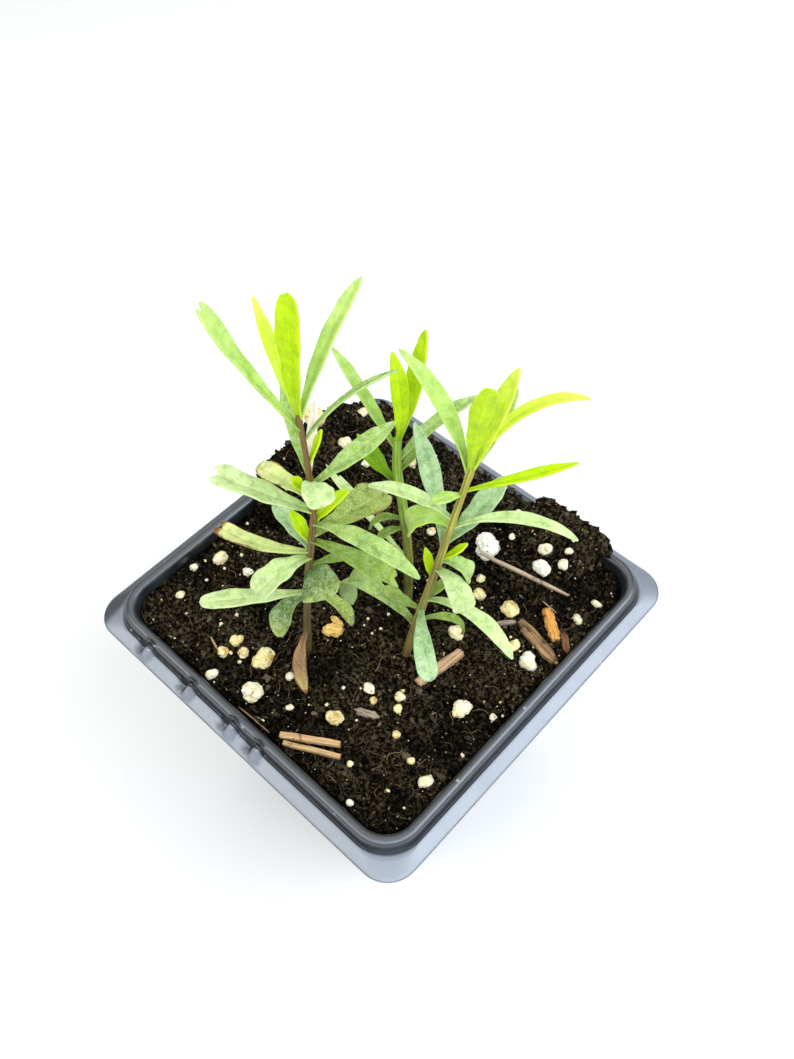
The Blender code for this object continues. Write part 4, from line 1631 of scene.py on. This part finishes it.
@dataclass
class Litter:
    """Wood and bark on the peat: two halves of a split stick, a twig and chips."""

    peat: RootBall
    around: int = 28
    along: int = 44
    bare: float = -0.1
    wander: float = 0.12
    # Of each set of cracks: depth, fineness across and along, and shift of the seed
    cracks: tuple[tuple[float, float, float, float], ...] = (
        (0.10, 5.0, 2.0, 0.0), (0.04, 9.0, 7.0, 5.0), (0.0, 16.0, 16.0, 8.0),
    )

    def shape_chip(self, row: ChipRow, seed: float) -> Object:
        """Roll a sheet into one split piece of wood.

        Args:
            row: Its place and size.
            seed: Picks its splits.

        Returns:
            The piece.
        """
        start = Vector((*row.start, RIM + self.peat.lie(*row.start) + row.lift))
        end = Vector((*row.end, RIM + self.peat.lie(*row.end) + row.lift))
        highest = 0.0
        for step in range(self.along):
            spot = start.lerp(end, step / self.along)
            highest = max(highest, RIM + self.peat.top(spot.x, spot.y) + self.bare - spot.z)
        start.z += highest
        end.z += highest
        ahead = (end - start).normalized()
        side = Vector((-ahead.y, ahead.x, 0.0)).normalized()
        face = ahead.cross(side)
        chip = add_sheet(row.name, self.around, self.along)

        def split(at: Vector) -> Vector:
            """Place one corner of the sheet round the chip."""
            turn = math.pi * at.x
            share = 0.5 * (at.y + 1.0)
            across, up = math.cos(turn), math.sin(turn)
            square = max(abs(across), abs(up)) ** 0.75
            across, up = across / square, up / square
            thin = 1.0 - row.taper * smooth_step(0.55, 1.0, abs(2 * share - 1))
            crack = 0.0
            for depth, fine, stretch, shift in self.cracks:
                spot = Vector((fine * across, stretch * share, fine * up))
                crack += (depth + row.ragged) * crumple(spot, 1.0, seed + shift)
            ragged = row.ragged * crumple(Vector((3 * across, 3 * up, 0.0)), 1.0, seed) * (2 * share - 1) ** 7
            wander = self.wander * crumple(Vector((2.5 * share, 0.0, 0.0)), 1.0, seed + 2)
            place = start.lerp(end, share + ragged)
            place += side * 0.5 * row.width * (across * thin * (1 + crack) + wander)
            return place + face * 0.5 * row.height * up * thin * (1 + crack)

        reshape(chip, split)
        close_roll(chip)
        return chip

    def build(self, effects: EffectGroups) -> None:
        """Build all the pieces.

        Args:
            effects: Shared effects.
        """
        finishes = {wood: wood.value.build(effects) for wood in Wood}
        for index, row in enumerate(CHIPS):
            chip = self.shape_chip(row, 7.0 * index)
            chip.name = row.name + "_wood"
            chip.data.name = chip.name
            finish_piece(chip, finishes[row.wood], "bark", row.name)
        for index, row in enumerate(LOOSE_BITS):
            finish_piece(self.shape_chip(row, 5.0 * index + 2.0), finishes[row.wood], "bark")


class Tip(Enum):
    """How a leaf ends: outline along its length, and how far each lengthwise line stops short."""

    LANCE = (
        ((0.0, 0.3), (0.08, 0.3), (0.2, 0.46), (0.4, 0.86), (0.6, 1.0), (0.78, 0.86), (0.9, 0.55),
         (0.96, 0.32), (1.0, 0.07)),
        ((0.0, 0.0), (1.0, 0.0)),
    )
    SPOON = (
        ((0.0, 0.3), (0.1, 0.3), (0.2, 0.44), (0.45, 0.8), (0.7, 1.0), (0.85, 0.93), (0.94, 0.7),
         (0.98, 0.45), (1.0, 0.16)),
        ((0.0, 0.0), (1.0, 0.02)),
    )
    FORKED = (
        ((0.0, 0.3), (0.1, 0.32), (0.2, 0.46), (0.5, 0.82), (0.75, 1.0), (0.88, 1.0), (0.96, 0.88),
         (1.0, 0.7)),
        ((0.0, 0.055), (0.2, 0.05), (0.5, 0.0), (0.8, 0.01), (1.0, 0.05)),
    )
    LOBED = (
        ((0.0, 0.28), (0.1, 0.3), (0.25, 0.45), (0.5, 0.8), (0.72, 1.0), (0.84, 0.95), (0.93, 0.8),
         (1.0, 0.6)),
        ((0.0, 0.0), (0.2, 0.03), (0.45, 0.18), (0.7, 0.1), (0.85, 0.13), (1.0, 0.22)),
    )


class Tint(Enum):
    """Leaf colours: at the foot, over the blade and at the tip, then bloom, specks and browning."""

    LIME = ((0.34, 0.52, 0.02), (0.48, 0.72, 0.001), (0.52, 0.76, 0.005), 0.04, 0.10, 0.0)
    LEMON = ((0.40, 0.56, 0.04), (0.62, 0.82, 0.04), (0.68, 0.86, 0.09), 0.08, 0.10, 0.0)
    FRESH = ((0.31, 0.49, 0.065), (0.45, 0.67, 0.12), (0.47, 0.67, 0.15), 0.20, 0.30, 0.0)
    GREY = ((0.20, 0.32, 0.04), (0.33, 0.50, 0.10), (0.37, 0.54, 0.13), 0.30, 0.7, 0.0)
    PALE = ((0.34, 0.50, 0.13), (0.55, 0.71, 0.27), (0.61, 0.75, 0.32), 0.35, 0.6, 0.0)
    BLUE = ((0.21, 0.36, 0.12), (0.34, 0.53, 0.24), (0.40, 0.59, 0.30), 0.40, 0.6, 0.0)
    OLIVE = ((0.15, 0.22, 0.02), (0.21, 0.33, 0.04), (0.26, 0.38, 0.05), 0.15, 0.4, 0.0)
    DARK = ((0.09, 0.17, 0.005), (0.16, 0.33, 0.0005), (0.24, 0.44, 0.003), 0.03, 0.2, 0.0)
    MOTTLED = ((0.12, 0.19, 0.03), (0.14, 0.23, 0.055), (0.30, 0.40, 0.07), 0.25, 0.9, 0.25)
    AGEING = ((0.34, 0.46, 0.11), (0.58, 0.66, 0.20), (0.76, 0.74, 0.30), 0.25, 0.6, 0.6)
    KHAKI = ((0.21, 0.30, 0.03), (0.30, 0.40, 0.06), (0.40, 0.46, 0.11), 0.15, 0.9, 0.5)
    DRY = ((0.70, 0.58, 0.42), (0.95, 0.88, 0.74), (0.95, 0.85, 0.70), 0.0, 0.1, 0.0)
    DEAD = ((0.16, 0.085, 0.045), (0.34, 0.20, 0.10), (0.50, 0.42, 0.14), 0.0, 0.4, 0.6)


class LeafRow(NamedTuple):
    """One leaf: where it leaves its stem, how it bends, its size, end and colour."""

    height: float
    heading: float
    sweep: float
    rise: float
    end_rise: float
    length: float
    width: float
    roll: float
    tip: Tip
    tint: Tint


LEFT_LEAVES = (
    LeafRow(65.0, -138, 0, 60, 72, 28.0, 3.3, -15, Tip.FORKED, Tint.FRESH),
    LeafRow(67.0, 171, -9, 66, 60, 20.5, 2.2, 0, Tip.LANCE, Tint.LEMON),
    LeafRow(67.5, 105, 0, 92, 78, 23.5, 4.0, 10, Tip.SPOON, Tint.LIME),
    LeafRow(67.0, 99, 0, 58, 21, 24.0, 3.3, -15, Tip.LANCE, Tint.FRESH),
    LeafRow(53.0, 159, -12, 49, 53, 17.0, 2.3, 0, Tip.LANCE, Tint.GREY),
    LeafRow(62.0, 68, -6, 54, 5, 19.5, 1.9, -20, Tip.LANCE, Tint.GREY),
    LeafRow(56.0, 72, 0, 64, 69, 8.0, 1.6, 0, Tip.LANCE, Tint.LIME),
    LeafRow(44.0, -152, 0, 16, 18, 18.5, 5.2, 0, Tip.FORKED, Tint.PALE),
    LeafRow(47.5, -167, -6, 24, -6, 11.5, 3.9, 0, Tip.SPOON, Tint.AGEING),
    LeafRow(48.5, -151, -8, 51, 43, 5.0, 2.2, 0, Tip.LOBED, Tint.LIME),
    LeafRow(52.0, -25, 0, 50, -45, 6.8, 6.0, -20, Tip.SPOON, Tint.PALE),
    LeafRow(40.0, 70, -4, 59, 18, 9.5, 2.8, 0, Tip.LANCE, Tint.LIME),
    LeafRow(32.5, 178, -16, 28, 14, 11.5, 3.6, 0, Tip.SPOON, Tint.BLUE),
    LeafRow(34.0, 173, 5, 61, 38, 7.5, 2.5, 0, Tip.LANCE, Tint.LIME),
    LeafRow(32.0, -138, -36, 1, 0, 19.0, 3.6, 0, Tip.FORKED, Tint.AGEING),
    LeafRow(30.5, -108, 4, 9, -43, 12.5, 6.3, 0, Tip.FORKED, Tint.PALE),
    LeafRow(18.5, -124, -13, 12, -9, 21.0, 4.2, 0, Tip.SPOON, Tint.PALE),
    LeafRow(17.0, -130, 85, 0, -75, 11.5, 4.6, 0, Tip.LANCE, Tint.MOTTLED),
    LeafRow(26.5, -10, -20, 25, -28, 8.0, 8.8, 32, Tip.SPOON, Tint.MOTTLED),
    LeafRow(37.5, 69, 19, 10, -7, 17.0, 7.2, 0, Tip.LOBED, Tint.KHAKI),
    LeafRow(40.5, 10, -6, 27, -16, 23.5, 4.0, 0, Tip.LANCE, Tint.GREY),
    LeafRow(35.5, 14, 4, 12, -38, 18.5, 4.8, 0, Tip.LOBED, Tint.OLIVE),
    LeafRow(27.5, 45, 3, 29, -4, 11.5, 2.2, 0, Tip.LANCE, Tint.OLIVE),
    LeafRow(51.0, 68, 16, 24, 9, 18.0, 4.0, 0, Tip.LANCE, Tint.GREY),
    LeafRow(19.0, 29, -23, 9, -94, 13.5, 3.0, 0, Tip.LANCE, Tint.KHAKI),
    LeafRow(53.0, 110, 0, 72, 66, 14.5, 1.8, 0, Tip.LANCE, Tint.DRY),
    LeafRow(4.5, -75, 55, -30, -12, 13.5, 2.9, 0, Tip.LANCE, Tint.DEAD),
)
MIDDLE_LEAVES = (
    LeafRow(45.0, -161, 0, 66, 60, 24.0, 2.8, -10, Tip.LANCE, Tint.FRESH),
    LeafRow(47.0, 167, 0, 106, 73, 22.5, 3.4, 0, Tip.LANCE, Tint.LIME),
    LeafRow(47.0, 84, -6, 67, 80, 24.0, 3.9, 10, Tip.LANCE, Tint.LIME),
    LeafRow(38.5, 75, 0, 51, 29, 8.0, 2.0, 0, Tip.LANCE, Tint.OLIVE),
    LeafRow(35.5, -171, -17, 25, 42, 12.5, 4.2, 0, Tip.LOBED, Tint.DARK),
    LeafRow(42.0, 78, -8, 43, 1, 19.5, 3.2, 0, Tip.LANCE, Tint.GREY),
    LeafRow(10.5, 179, -14, 23, -1, 29.0, 2.4, 0, Tip.LOBED, Tint.PALE),
    LeafRow(24.5, -156, 19, 17, -86, 10.0, 2.2, 0, Tip.LANCE, Tint.OLIVE),
    LeafRow(22.0, -130, 7, 10, -62, 7.0, 2.2, 0, Tip.LANCE, Tint.OLIVE),
)
RIGHT_LEAVES = (
    LeafRow(54.0, 171, 12, 79, 23, 25.0, 3.3, 0, Tip.LANCE, Tint.FRESH),
    LeafRow(55.0, -18, 0, 86, 73, 24.0, 3.7, -25, Tip.SPOON, Tint.LIME),
    LeafRow(55.0, 61, 0, 71, 72, 22.5, 4.0, 15, Tip.LANCE, Tint.LEMON),
    LeafRow(54.5, 84, 14, 46, 39, 16.0, 2.3, 0, Tip.LANCE, Tint.GREY),
    LeafRow(54.5, 84, -32, 69, -27, 26.0, 2.4, 0, Tip.LANCE, Tint.LEMON),
    LeafRow(50.5, 36, 13, 26, 15, 19.5, 2.3, 0, Tip.LANCE, Tint.LIME),
    LeafRow(36.0, 70, 15, 32, 37, 16.0, 4.8, 0, Tip.LANCE, Tint.BLUE),
    LeafRow(40.0, 44, -16, 38, -41, 24.0, 2.6, 0, Tip.LANCE, Tint.PALE),
    LeafRow(42.5, -162, 11, 41, -14, 16.5, 3.0, 0, Tip.LANCE, Tint.PALE),
    LeafRow(34.0, 142, 21, 63, 47, 24.0, 3.7, 0, Tip.LANCE, Tint.BLUE),
    LeafRow(49.5, -116, 5, 22, -3, 5.5, 2.6, 0, Tip.SPOON, Tint.FRESH),
    LeafRow(41.0, -171, 18, 19, -100, 13.0, 4.9, -30, Tip.SPOON, Tint.FRESH),
    LeafRow(24.0, 156, 0, 73, 60, 7.5, 1.9, 0, Tip.LANCE, Tint.LIME),
    LeafRow(30.5, 38, 15, 40, 48, 7.0, 1.9, 0, Tip.LANCE, Tint.LIME),
    LeafRow(28.0, 0, -20, 10, -80, 10.5, 5.1, 0, Tip.SPOON, Tint.PALE),
    LeafRow(17.5, 70, 0, 40, 20, 6.0, 2.3, 0, Tip.LANCE, Tint.OLIVE),
    LeafRow(30.5, 35, -16, 21, -96, 8.5, 4.1, 0, Tip.SPOON, Tint.GREY),
    LeafRow(17.5, 22, -33, 30, -43, 22.0, 3.4, 0, Tip.LANCE, Tint.PALE),
    LeafRow(14.5, -52, 22, 1, -32, 15.0, 4.2, 0, Tip.SPOON, Tint.BLUE),
    LeafRow(9.5, 49, -7, 36, -110, 15.0, 2.1, 0, Tip.LANCE, Tint.OLIVE),
    LeafRow(14.0, -160, -13, 7, 15, 8.5, 2.8, 0, Tip.SPOON, Tint.OLIVE),
    LeafRow(8.0, -160, -50, 66, -124, 32.5, 5.0, -15, Tip.SPOON, Tint.GREY),
)


@dataclass
class LeafyStem:
    """One shoot: a ribbed stem and its leaves, grown together into one piece."""

    side: str
    line: tuple[tuple[float, float, float, float], ...]
    leaves: tuple[LeafRow, ...]
    depth: float = 10.0
    around: int = 20
    along: int = 130
    ribs: int = 5
    rib_depth: float = 0.05
    uneven: float = 0.06
    knuckle: float = 0.03
    knuckle_half: float = 0.8
    blade: float = 0.42
    fold: float = 0.22
    dead_fold: float = 3.0
    wave: float = 0.10
    ripple: float = 0.05
    edge_wave: float = 0.04
    lopsided: float = 0.35
    twist: float = 7.0
    rib_dip: float = 0.10
    rib_half: float = 0.16
    columns: int = 10
    rows: int = 24
    steps: int = 48

    def stem_at(self, height: float) -> tuple[Vector, float]:
        """Centre and radius of the stem at a height.

        Args:
            height: Height over the rim's crest.

        Returns:
            The centre, over the rim's crest, and the radius.
        """
        if height <= self.line[0][2]:
            x, y, _, radius = self.line[0]
            return Vector((x, y, height)), radius
        for low, high in zip(self.line, self.line[1:]):
            if height <= high[2]:
                share = (height - low[2]) / (high[2] - low[2])
                return Vector(low[:3]).lerp(Vector(high[:3]), share), low[3] + share * (high[3] - low[3])
        return Vector(self.line[-1][:3]), self.line[-1][3]

    def shape_stem(self, finish: Material) -> Object:
        """Roll a sheet into the ribbed stem, with a small swelling under each leaf.

        Args:
            finish: The stem's finish.

        Returns:
            The stem.
        """
        stem = add_sheet("shoot_" + self.side, self.around, self.along)
        low = self.line[0][2] - self.depth
        high = self.line[-1][2]

        def roll(at: Vector) -> Vector:
            """Place one corner round the stem."""
            turn = math.pi * at.x
            height = low + (high - low) * 0.5 * (at.y + 1.0)
            centre, radius = self.stem_at(height)
            uneven = self.uneven * crumple(Vector((0.0, 0.0, height)), 4.0, 2.0)
            radius *= 1.0 + self.rib_depth * math.cos(self.ribs * turn) + uneven
            for leaf in self.leaves:
                radius += self.knuckle * math.exp(-(((height - leaf.height) / self.knuckle_half) ** 2))
            return centre + Vector((radius * math.cos(turn), radius * math.sin(turn), RIM))

        reshape(stem, roll)
        close_roll(stem)
        stem.data.materials.append(finish)
        return stem

    @staticmethod
    def direction(leaf: LeafRow, share: float) -> Vector:
        """A leaf's direction at a share of its length.

        Args:
            leaf: The leaf.
            share: From 0 at its foot to 1 at its tip.

        Returns:
            The direction, of length 1.
        """
        heading = math.radians(leaf.heading + leaf.sweep * share)
        rise = math.radians(leaf.rise + (leaf.end_rise - leaf.rise) * share)
        level = math.cos(rise)
        return Vector((level * math.cos(heading), level * math.sin(heading), math.sin(rise)))

    def follow(self, leaf: LeafRow) -> list[Vector]:
        """Points along a leaf's middle, from inside the stem.

        Args:
            leaf: The leaf.

        Returns:
            Its points over the foot of the pot.
        """
        foot, _ = self.stem_at(leaf.height)
        points = [foot + Vector((0.0, 0.0, RIM))]
        for step in range(self.steps):
            ahead = self.direction(leaf, (step + 0.5) / self.steps)
            points.append(points[-1] + ahead * leaf.length / self.steps)
        return points

    def shape_leaf(self, leaf: LeafRow, seed: float, finish: Material) -> Object:
        """Bend a sheet into one leaf, colour it and give it its thickness.

        Args:
            leaf: The leaf.
            seed: Picks its small unevenness.
            finish: The leaf's finish.

        Returns:
            The leaf.
        """
        outline, cuts = leaf.tip.value
        points = self.follow(leaf)
        sheet = add_sheet("blade", self.columns, self.rows)
        fold = self.fold * (self.dead_fold if leaf.tint is Tint.DEAD else 1.0)
        shares = []

        def bend(at: Vector) -> Vector:
            """Place one corner of the blade."""
            across = at.x
            share = 0.5 * (at.y + 1.0)
            lopsided = 1.0 + self.lopsided * math.sin(seed) * math.copysign(1.0, across)
            cut = read_curve(cuts, abs(across)) * lopsided
            share *= 1.0 - cut * smooth_step(0.5, 1.0, share)
            shares.append((share, across))
            half = 0.5 * leaf.width * read_curve(outline, share)
            spot = min(share * self.steps, self.steps - 1e-6)
            step = int(spot)
            place = points[step].lerp(points[step + 1], spot - step)
            ahead = self.direction(leaf, share)
            heading = math.radians(leaf.heading + leaf.sweep * share)
            twist = leaf.roll + self.twist * math.sin(2.6 * share + seed) * share
            level_side = Vector((-math.sin(heading), math.cos(heading), 0.0))
            side = Matrix.Rotation(math.radians(twist), 3, ahead) @ level_side
            face = ahead.cross(side)
            lift = fold * abs(across) * half
            lift -= self.rib_dip * half * math.exp(-((across / self.rib_half) ** 2))
            lift += self.wave * half * abs(across) * math.sin(9.0 * share + 2.0 * across + leaf.height)
            lift += self.ripple * half * across * across * math.sin(21.0 * share + 3.0 * across + seed)
            edge = 1.0 + self.edge_wave * math.sin(17.0 * share + seed) * abs(across)
            return place + side * across * half * edge + face * lift

        reshape(sheet, bend)
        self.colour_leaf(sheet, leaf, shares)
        wall = sheet.modifiers.new("blade", "SOLIDIFY")
        wall.thickness = self.blade * MM
        wall.offset = 0.0
        corners = len(sheet.data.vertices)
        apply_modifiers(sheet)
        store_values(sheet, "below", [float(vert.index < corners) for vert in sheet.data.vertices])
        smooth = sheet.modifiers.new("smooth", "SUBSURF")
        smooth.levels = 1
        smooth.render_levels = 1
        apply_modifiers(sheet)
        bpy.ops.object.shade_smooth()
        sheet.data.materials.append(finish)
        return sheet

    @staticmethod
    def colour_leaf(sheet: Object, leaf: LeafRow, shares: Sequence[tuple[float, float]]) -> None:
        """Store a leaf's tint, bloom, specks and browning at each corner.

        Args:
            sheet: The leaf's sheet.
            leaf: The leaf.
            shares: For each corner its share of the length and its place across.
        """
        foot, body, tip, bloom, specks, scorch = leaf.tint.value
        tints, ages = [], []
        for share, across in shares:
            low = smooth_step(0.0, 0.35, share)
            high = smooth_step(0.55, 1.0, share)
            tint = [foot[i] + (body[i] - foot[i]) * low + (tip[i] - body[i]) * high for i in range(3)]
            tints += [*tint, 1.0]
            rim = smooth_step(0.6, 1.0, abs(across)) * smooth_step(0.25, 0.5, share)
            burnt = scorch * max(smooth_step(0.8, 1.0, share), rim)
            ages += [bloom * (0.4 + 0.6 * low), specks, burnt, 1.0]
        for name, values in (("tint", tints), ("age", ages)):
            layer = sheet.data.attributes.new(name, "FLOAT_COLOR", "POINT")
            layer.data.foreach_set("color", values)

    def build(self, stem_finish: Material, leaf_finish: Material) -> None:
        """Build the shoot.

        Args:
            stem_finish: Finish of the stem.
            leaf_finish: Finish of the leaves.
        """
        stem = self.shape_stem(stem_finish)
        blades = [self.shape_leaf(leaf, 1.7 * index, leaf_finish) for index, leaf in enumerate(self.leaves)]
        shoot = join_pieces("shoot_" + self.side, [stem, *blades])
        finish_piece(shoot, None, "tarragon_leaf", "leafy_stem_" + self.side)


# Each stem's line: place along X, Y and height over the rim's crest, and radius
LEFT_LINE = (
    (-3.0, -19.0, -3.6, 0.9), (-2.4, -18.2, 8.0, 0.8), (-1.0, -16.7, 25.0, 0.68),
    (1.0, -14.8, 42.0, 0.6), (1.4, -14.5, 56.0, 0.5), (1.2, -14.6, 68.5, 0.45),
)
MIDDLE_LINE = (
    (4.0, 4.5, -3.6, 0.95), (4.3, 4.9, 11.0, 0.95), (4.1, 4.7, 20.0, 0.9),
    (3.7, 4.3, 31.0, 0.9), (3.2, 3.9, 40.0, 0.85), (3.5, 4.1, 48.5, 0.7),
)
RIGHT_LINE = (
    (13.0, -6.0, -3.6, 0.9), (14.8, -4.2, 10.0, 0.85), (17.5, -1.5, 27.5, 0.75),
    (19.8, 0.8, 44.0, 0.65), (21.6, 2.6, 56.5, 0.6),
)
SHOOTS = (
    LeafyStem("left", LEFT_LINE, LEFT_LEAVES),
    LeafyStem("middle", MIDDLE_LINE, MIDDLE_LEAVES),
    LeafyStem("right", RIGHT_LINE, RIGHT_LEAVES),
)
STEM_FINISHES = (
    StemFinish("left_stem_bark", (0.055, 0.032, 0.015), (0.12, 0.075, 0.028), (0.11, 0.055, 0.016), 0.5),
    StemFinish("middle_stem_bark", (0.07, 0.045, 0.02), (0.13, 0.12, 0.03), (0.18, 0.26, 0.035), 0.5),
    StemFinish("right_stem_bark", (0.07, 0.032, 0.015), (0.17, 0.13, 0.04), (0.24, 0.20, 0.035), 0.6),
)


class Softbox(NamedTuple):
    """One soft light: degrees from +X and over level, size in metres, brightness, and colour."""

    name: str
    azimuth: float
    elevation: float
    width: float
    height: float
    glow: float
    colour: Colour


@dataclass
class Studio:
    """Plain pale floor, soft lights and the camera at the photograph's angle."""

    camera_place: tuple[float, float, float] = (85.1, -77.3, 255.7)
    azimuth: float = 45.553
    elevation: float = 54.098
    roll: float = -3.23
    lens: float = 33.99
    sky: float = 0.30
    light_reach: float = 0.9
    floor_greys: tuple[float, float] = (0.90, 0.93)
    lights: tuple[Softbox, ...] = (
        Softbox("key_softbox", 31.0, 42.0, 0.90, 0.66, 3.8, (0.89, 0.945, 1.0)),
        Softbox("near_softbox", -47.0, 50.0, 0.90, 0.50, 3.3, (0.89, 0.945, 1.0)),
        Softbox("left_softbox", 238.0, 40.0, 0.80, 0.56, 2.4, (1.0, 1.0, 0.92)),
        Softbox("far_softbox", 135.0, 62.0, 0.90, 0.90, 0.9, (1.0, 1.0, 0.98)),
    )

    def add_camera(self) -> None:
        """Place the camera and make it the scene's."""
        azimuth, elevation, roll = map(math.radians, (self.azimuth, self.elevation, self.roll))
        back = Vector((math.sin(azimuth) * math.cos(elevation), -math.cos(azimuth) * math.cos(elevation),
                       math.sin(elevation)))
        right = (-back).cross(Vector((0.0, 0.0, 1.0))).normalized()
        up = right.cross(-back)
        level = math.cos(roll) * right + math.sin(roll) * up
        tall = math.cos(roll) * up - math.sin(roll) * right
        deselect_all()
        bpy.ops.object.camera_add()
        camera = bpy.context.object
        camera.name = "photo_camera"
        camera.data.lens = self.lens
        camera.data.sensor_width = 36.0
        camera.data.clip_start = 0.01
        place = Matrix((level, tall, back)).transposed().to_4x4()
        place.translation = Vector(self.camera_place) * MM
        camera.matrix_world = place
        bpy.context.scene.camera = camera

    def add_softbox(self, box: Softbox) -> None:
        """Add one soft light that faces the plant.

        Args:
            box: Its place, size and brightness.
        """
        turn, rise = math.radians(box.azimuth), math.radians(box.elevation)
        away = Vector((math.cos(turn) * math.cos(rise), math.sin(turn) * math.cos(rise), math.sin(rise)))
        deselect_all()
        place = away * self.light_reach + Vector((0.0, 0.0, RIM * MM))
        bpy.ops.object.light_add(type="AREA", location=place)
        light = bpy.context.object
        light.name = box.name
        light.rotation_euler = away.to_track_quat("Z", "Y").to_euler()
        light.data.shape = "RECTANGLE"
        light.data.size = box.width
        light.data.size_y = box.height
        light.data.energy = math.pi * box.glow * box.width * box.height
        light.data.color = box.colour

    def add_floor(self) -> None:
        """Lay the pale floor."""
        deselect_all()
        bpy.ops.mesh.primitive_plane_add(size=6.0, location=(0.0, 0.0, 0.0))
        floor = name_piece("pale_floor")
        finish, tree, shader = start_material("pale_floor", 0.9, 0.0)
        place = add_node(tree, "TexCoord").outputs["Object"]
        cloud = add_node(tree, "TexNoise", {"Vector": place, "Scale": 3.0}).outputs["Fac"]
        darker, lighter = ((grey, grey, grey) for grey in self.floor_greys)
        tree.links.new(blend_colours(tree, cloud, darker, lighter), shader.inputs["Base Color"])
        floor.data.materials.append(finish)

    def build(self) -> None:
        """Set up the camera, the floor, the lights and the sky."""
        self.add_camera()
        self.add_floor()
        for box in self.lights:
            self.add_softbox(box)
        world = bpy.data.worlds.new("studio_sky")
        world.use_nodes = True
        background = world.node_tree.nodes["Background"]
        background.inputs["Color"].default_value = (*WHITE, 1.0)
        background.inputs["Strength"].default_value = self.sky
        bpy.context.scene.world = world
        bpy.context.scene.view_settings.view_transform = "Standard"


def main() -> None:
    """Dress the whole plant and set up its studio."""
    logging.basicConfig(level=logging.INFO, format="%(name)s: %(message)s")
    effects = EffectGroups()
    pot = NurseryPot()
    pot.build(PlasticFinish().build(effects))
    peat = RootBall(pot)
    peat.build(PeatFinish().build(effects), HairFinish().build(effects))
    PerliteScatter(peat).build(PerliteFinish().build(effects))
    Litter(peat).build(effects)
    leaf = LeafFinish().build(effects)
    for shoot, finish in zip(SHOOTS, STEM_FINISHES):
        shoot.build(finish.build(effects), leaf)
    Studio().build()


if __name__ == "__main__":
    main()
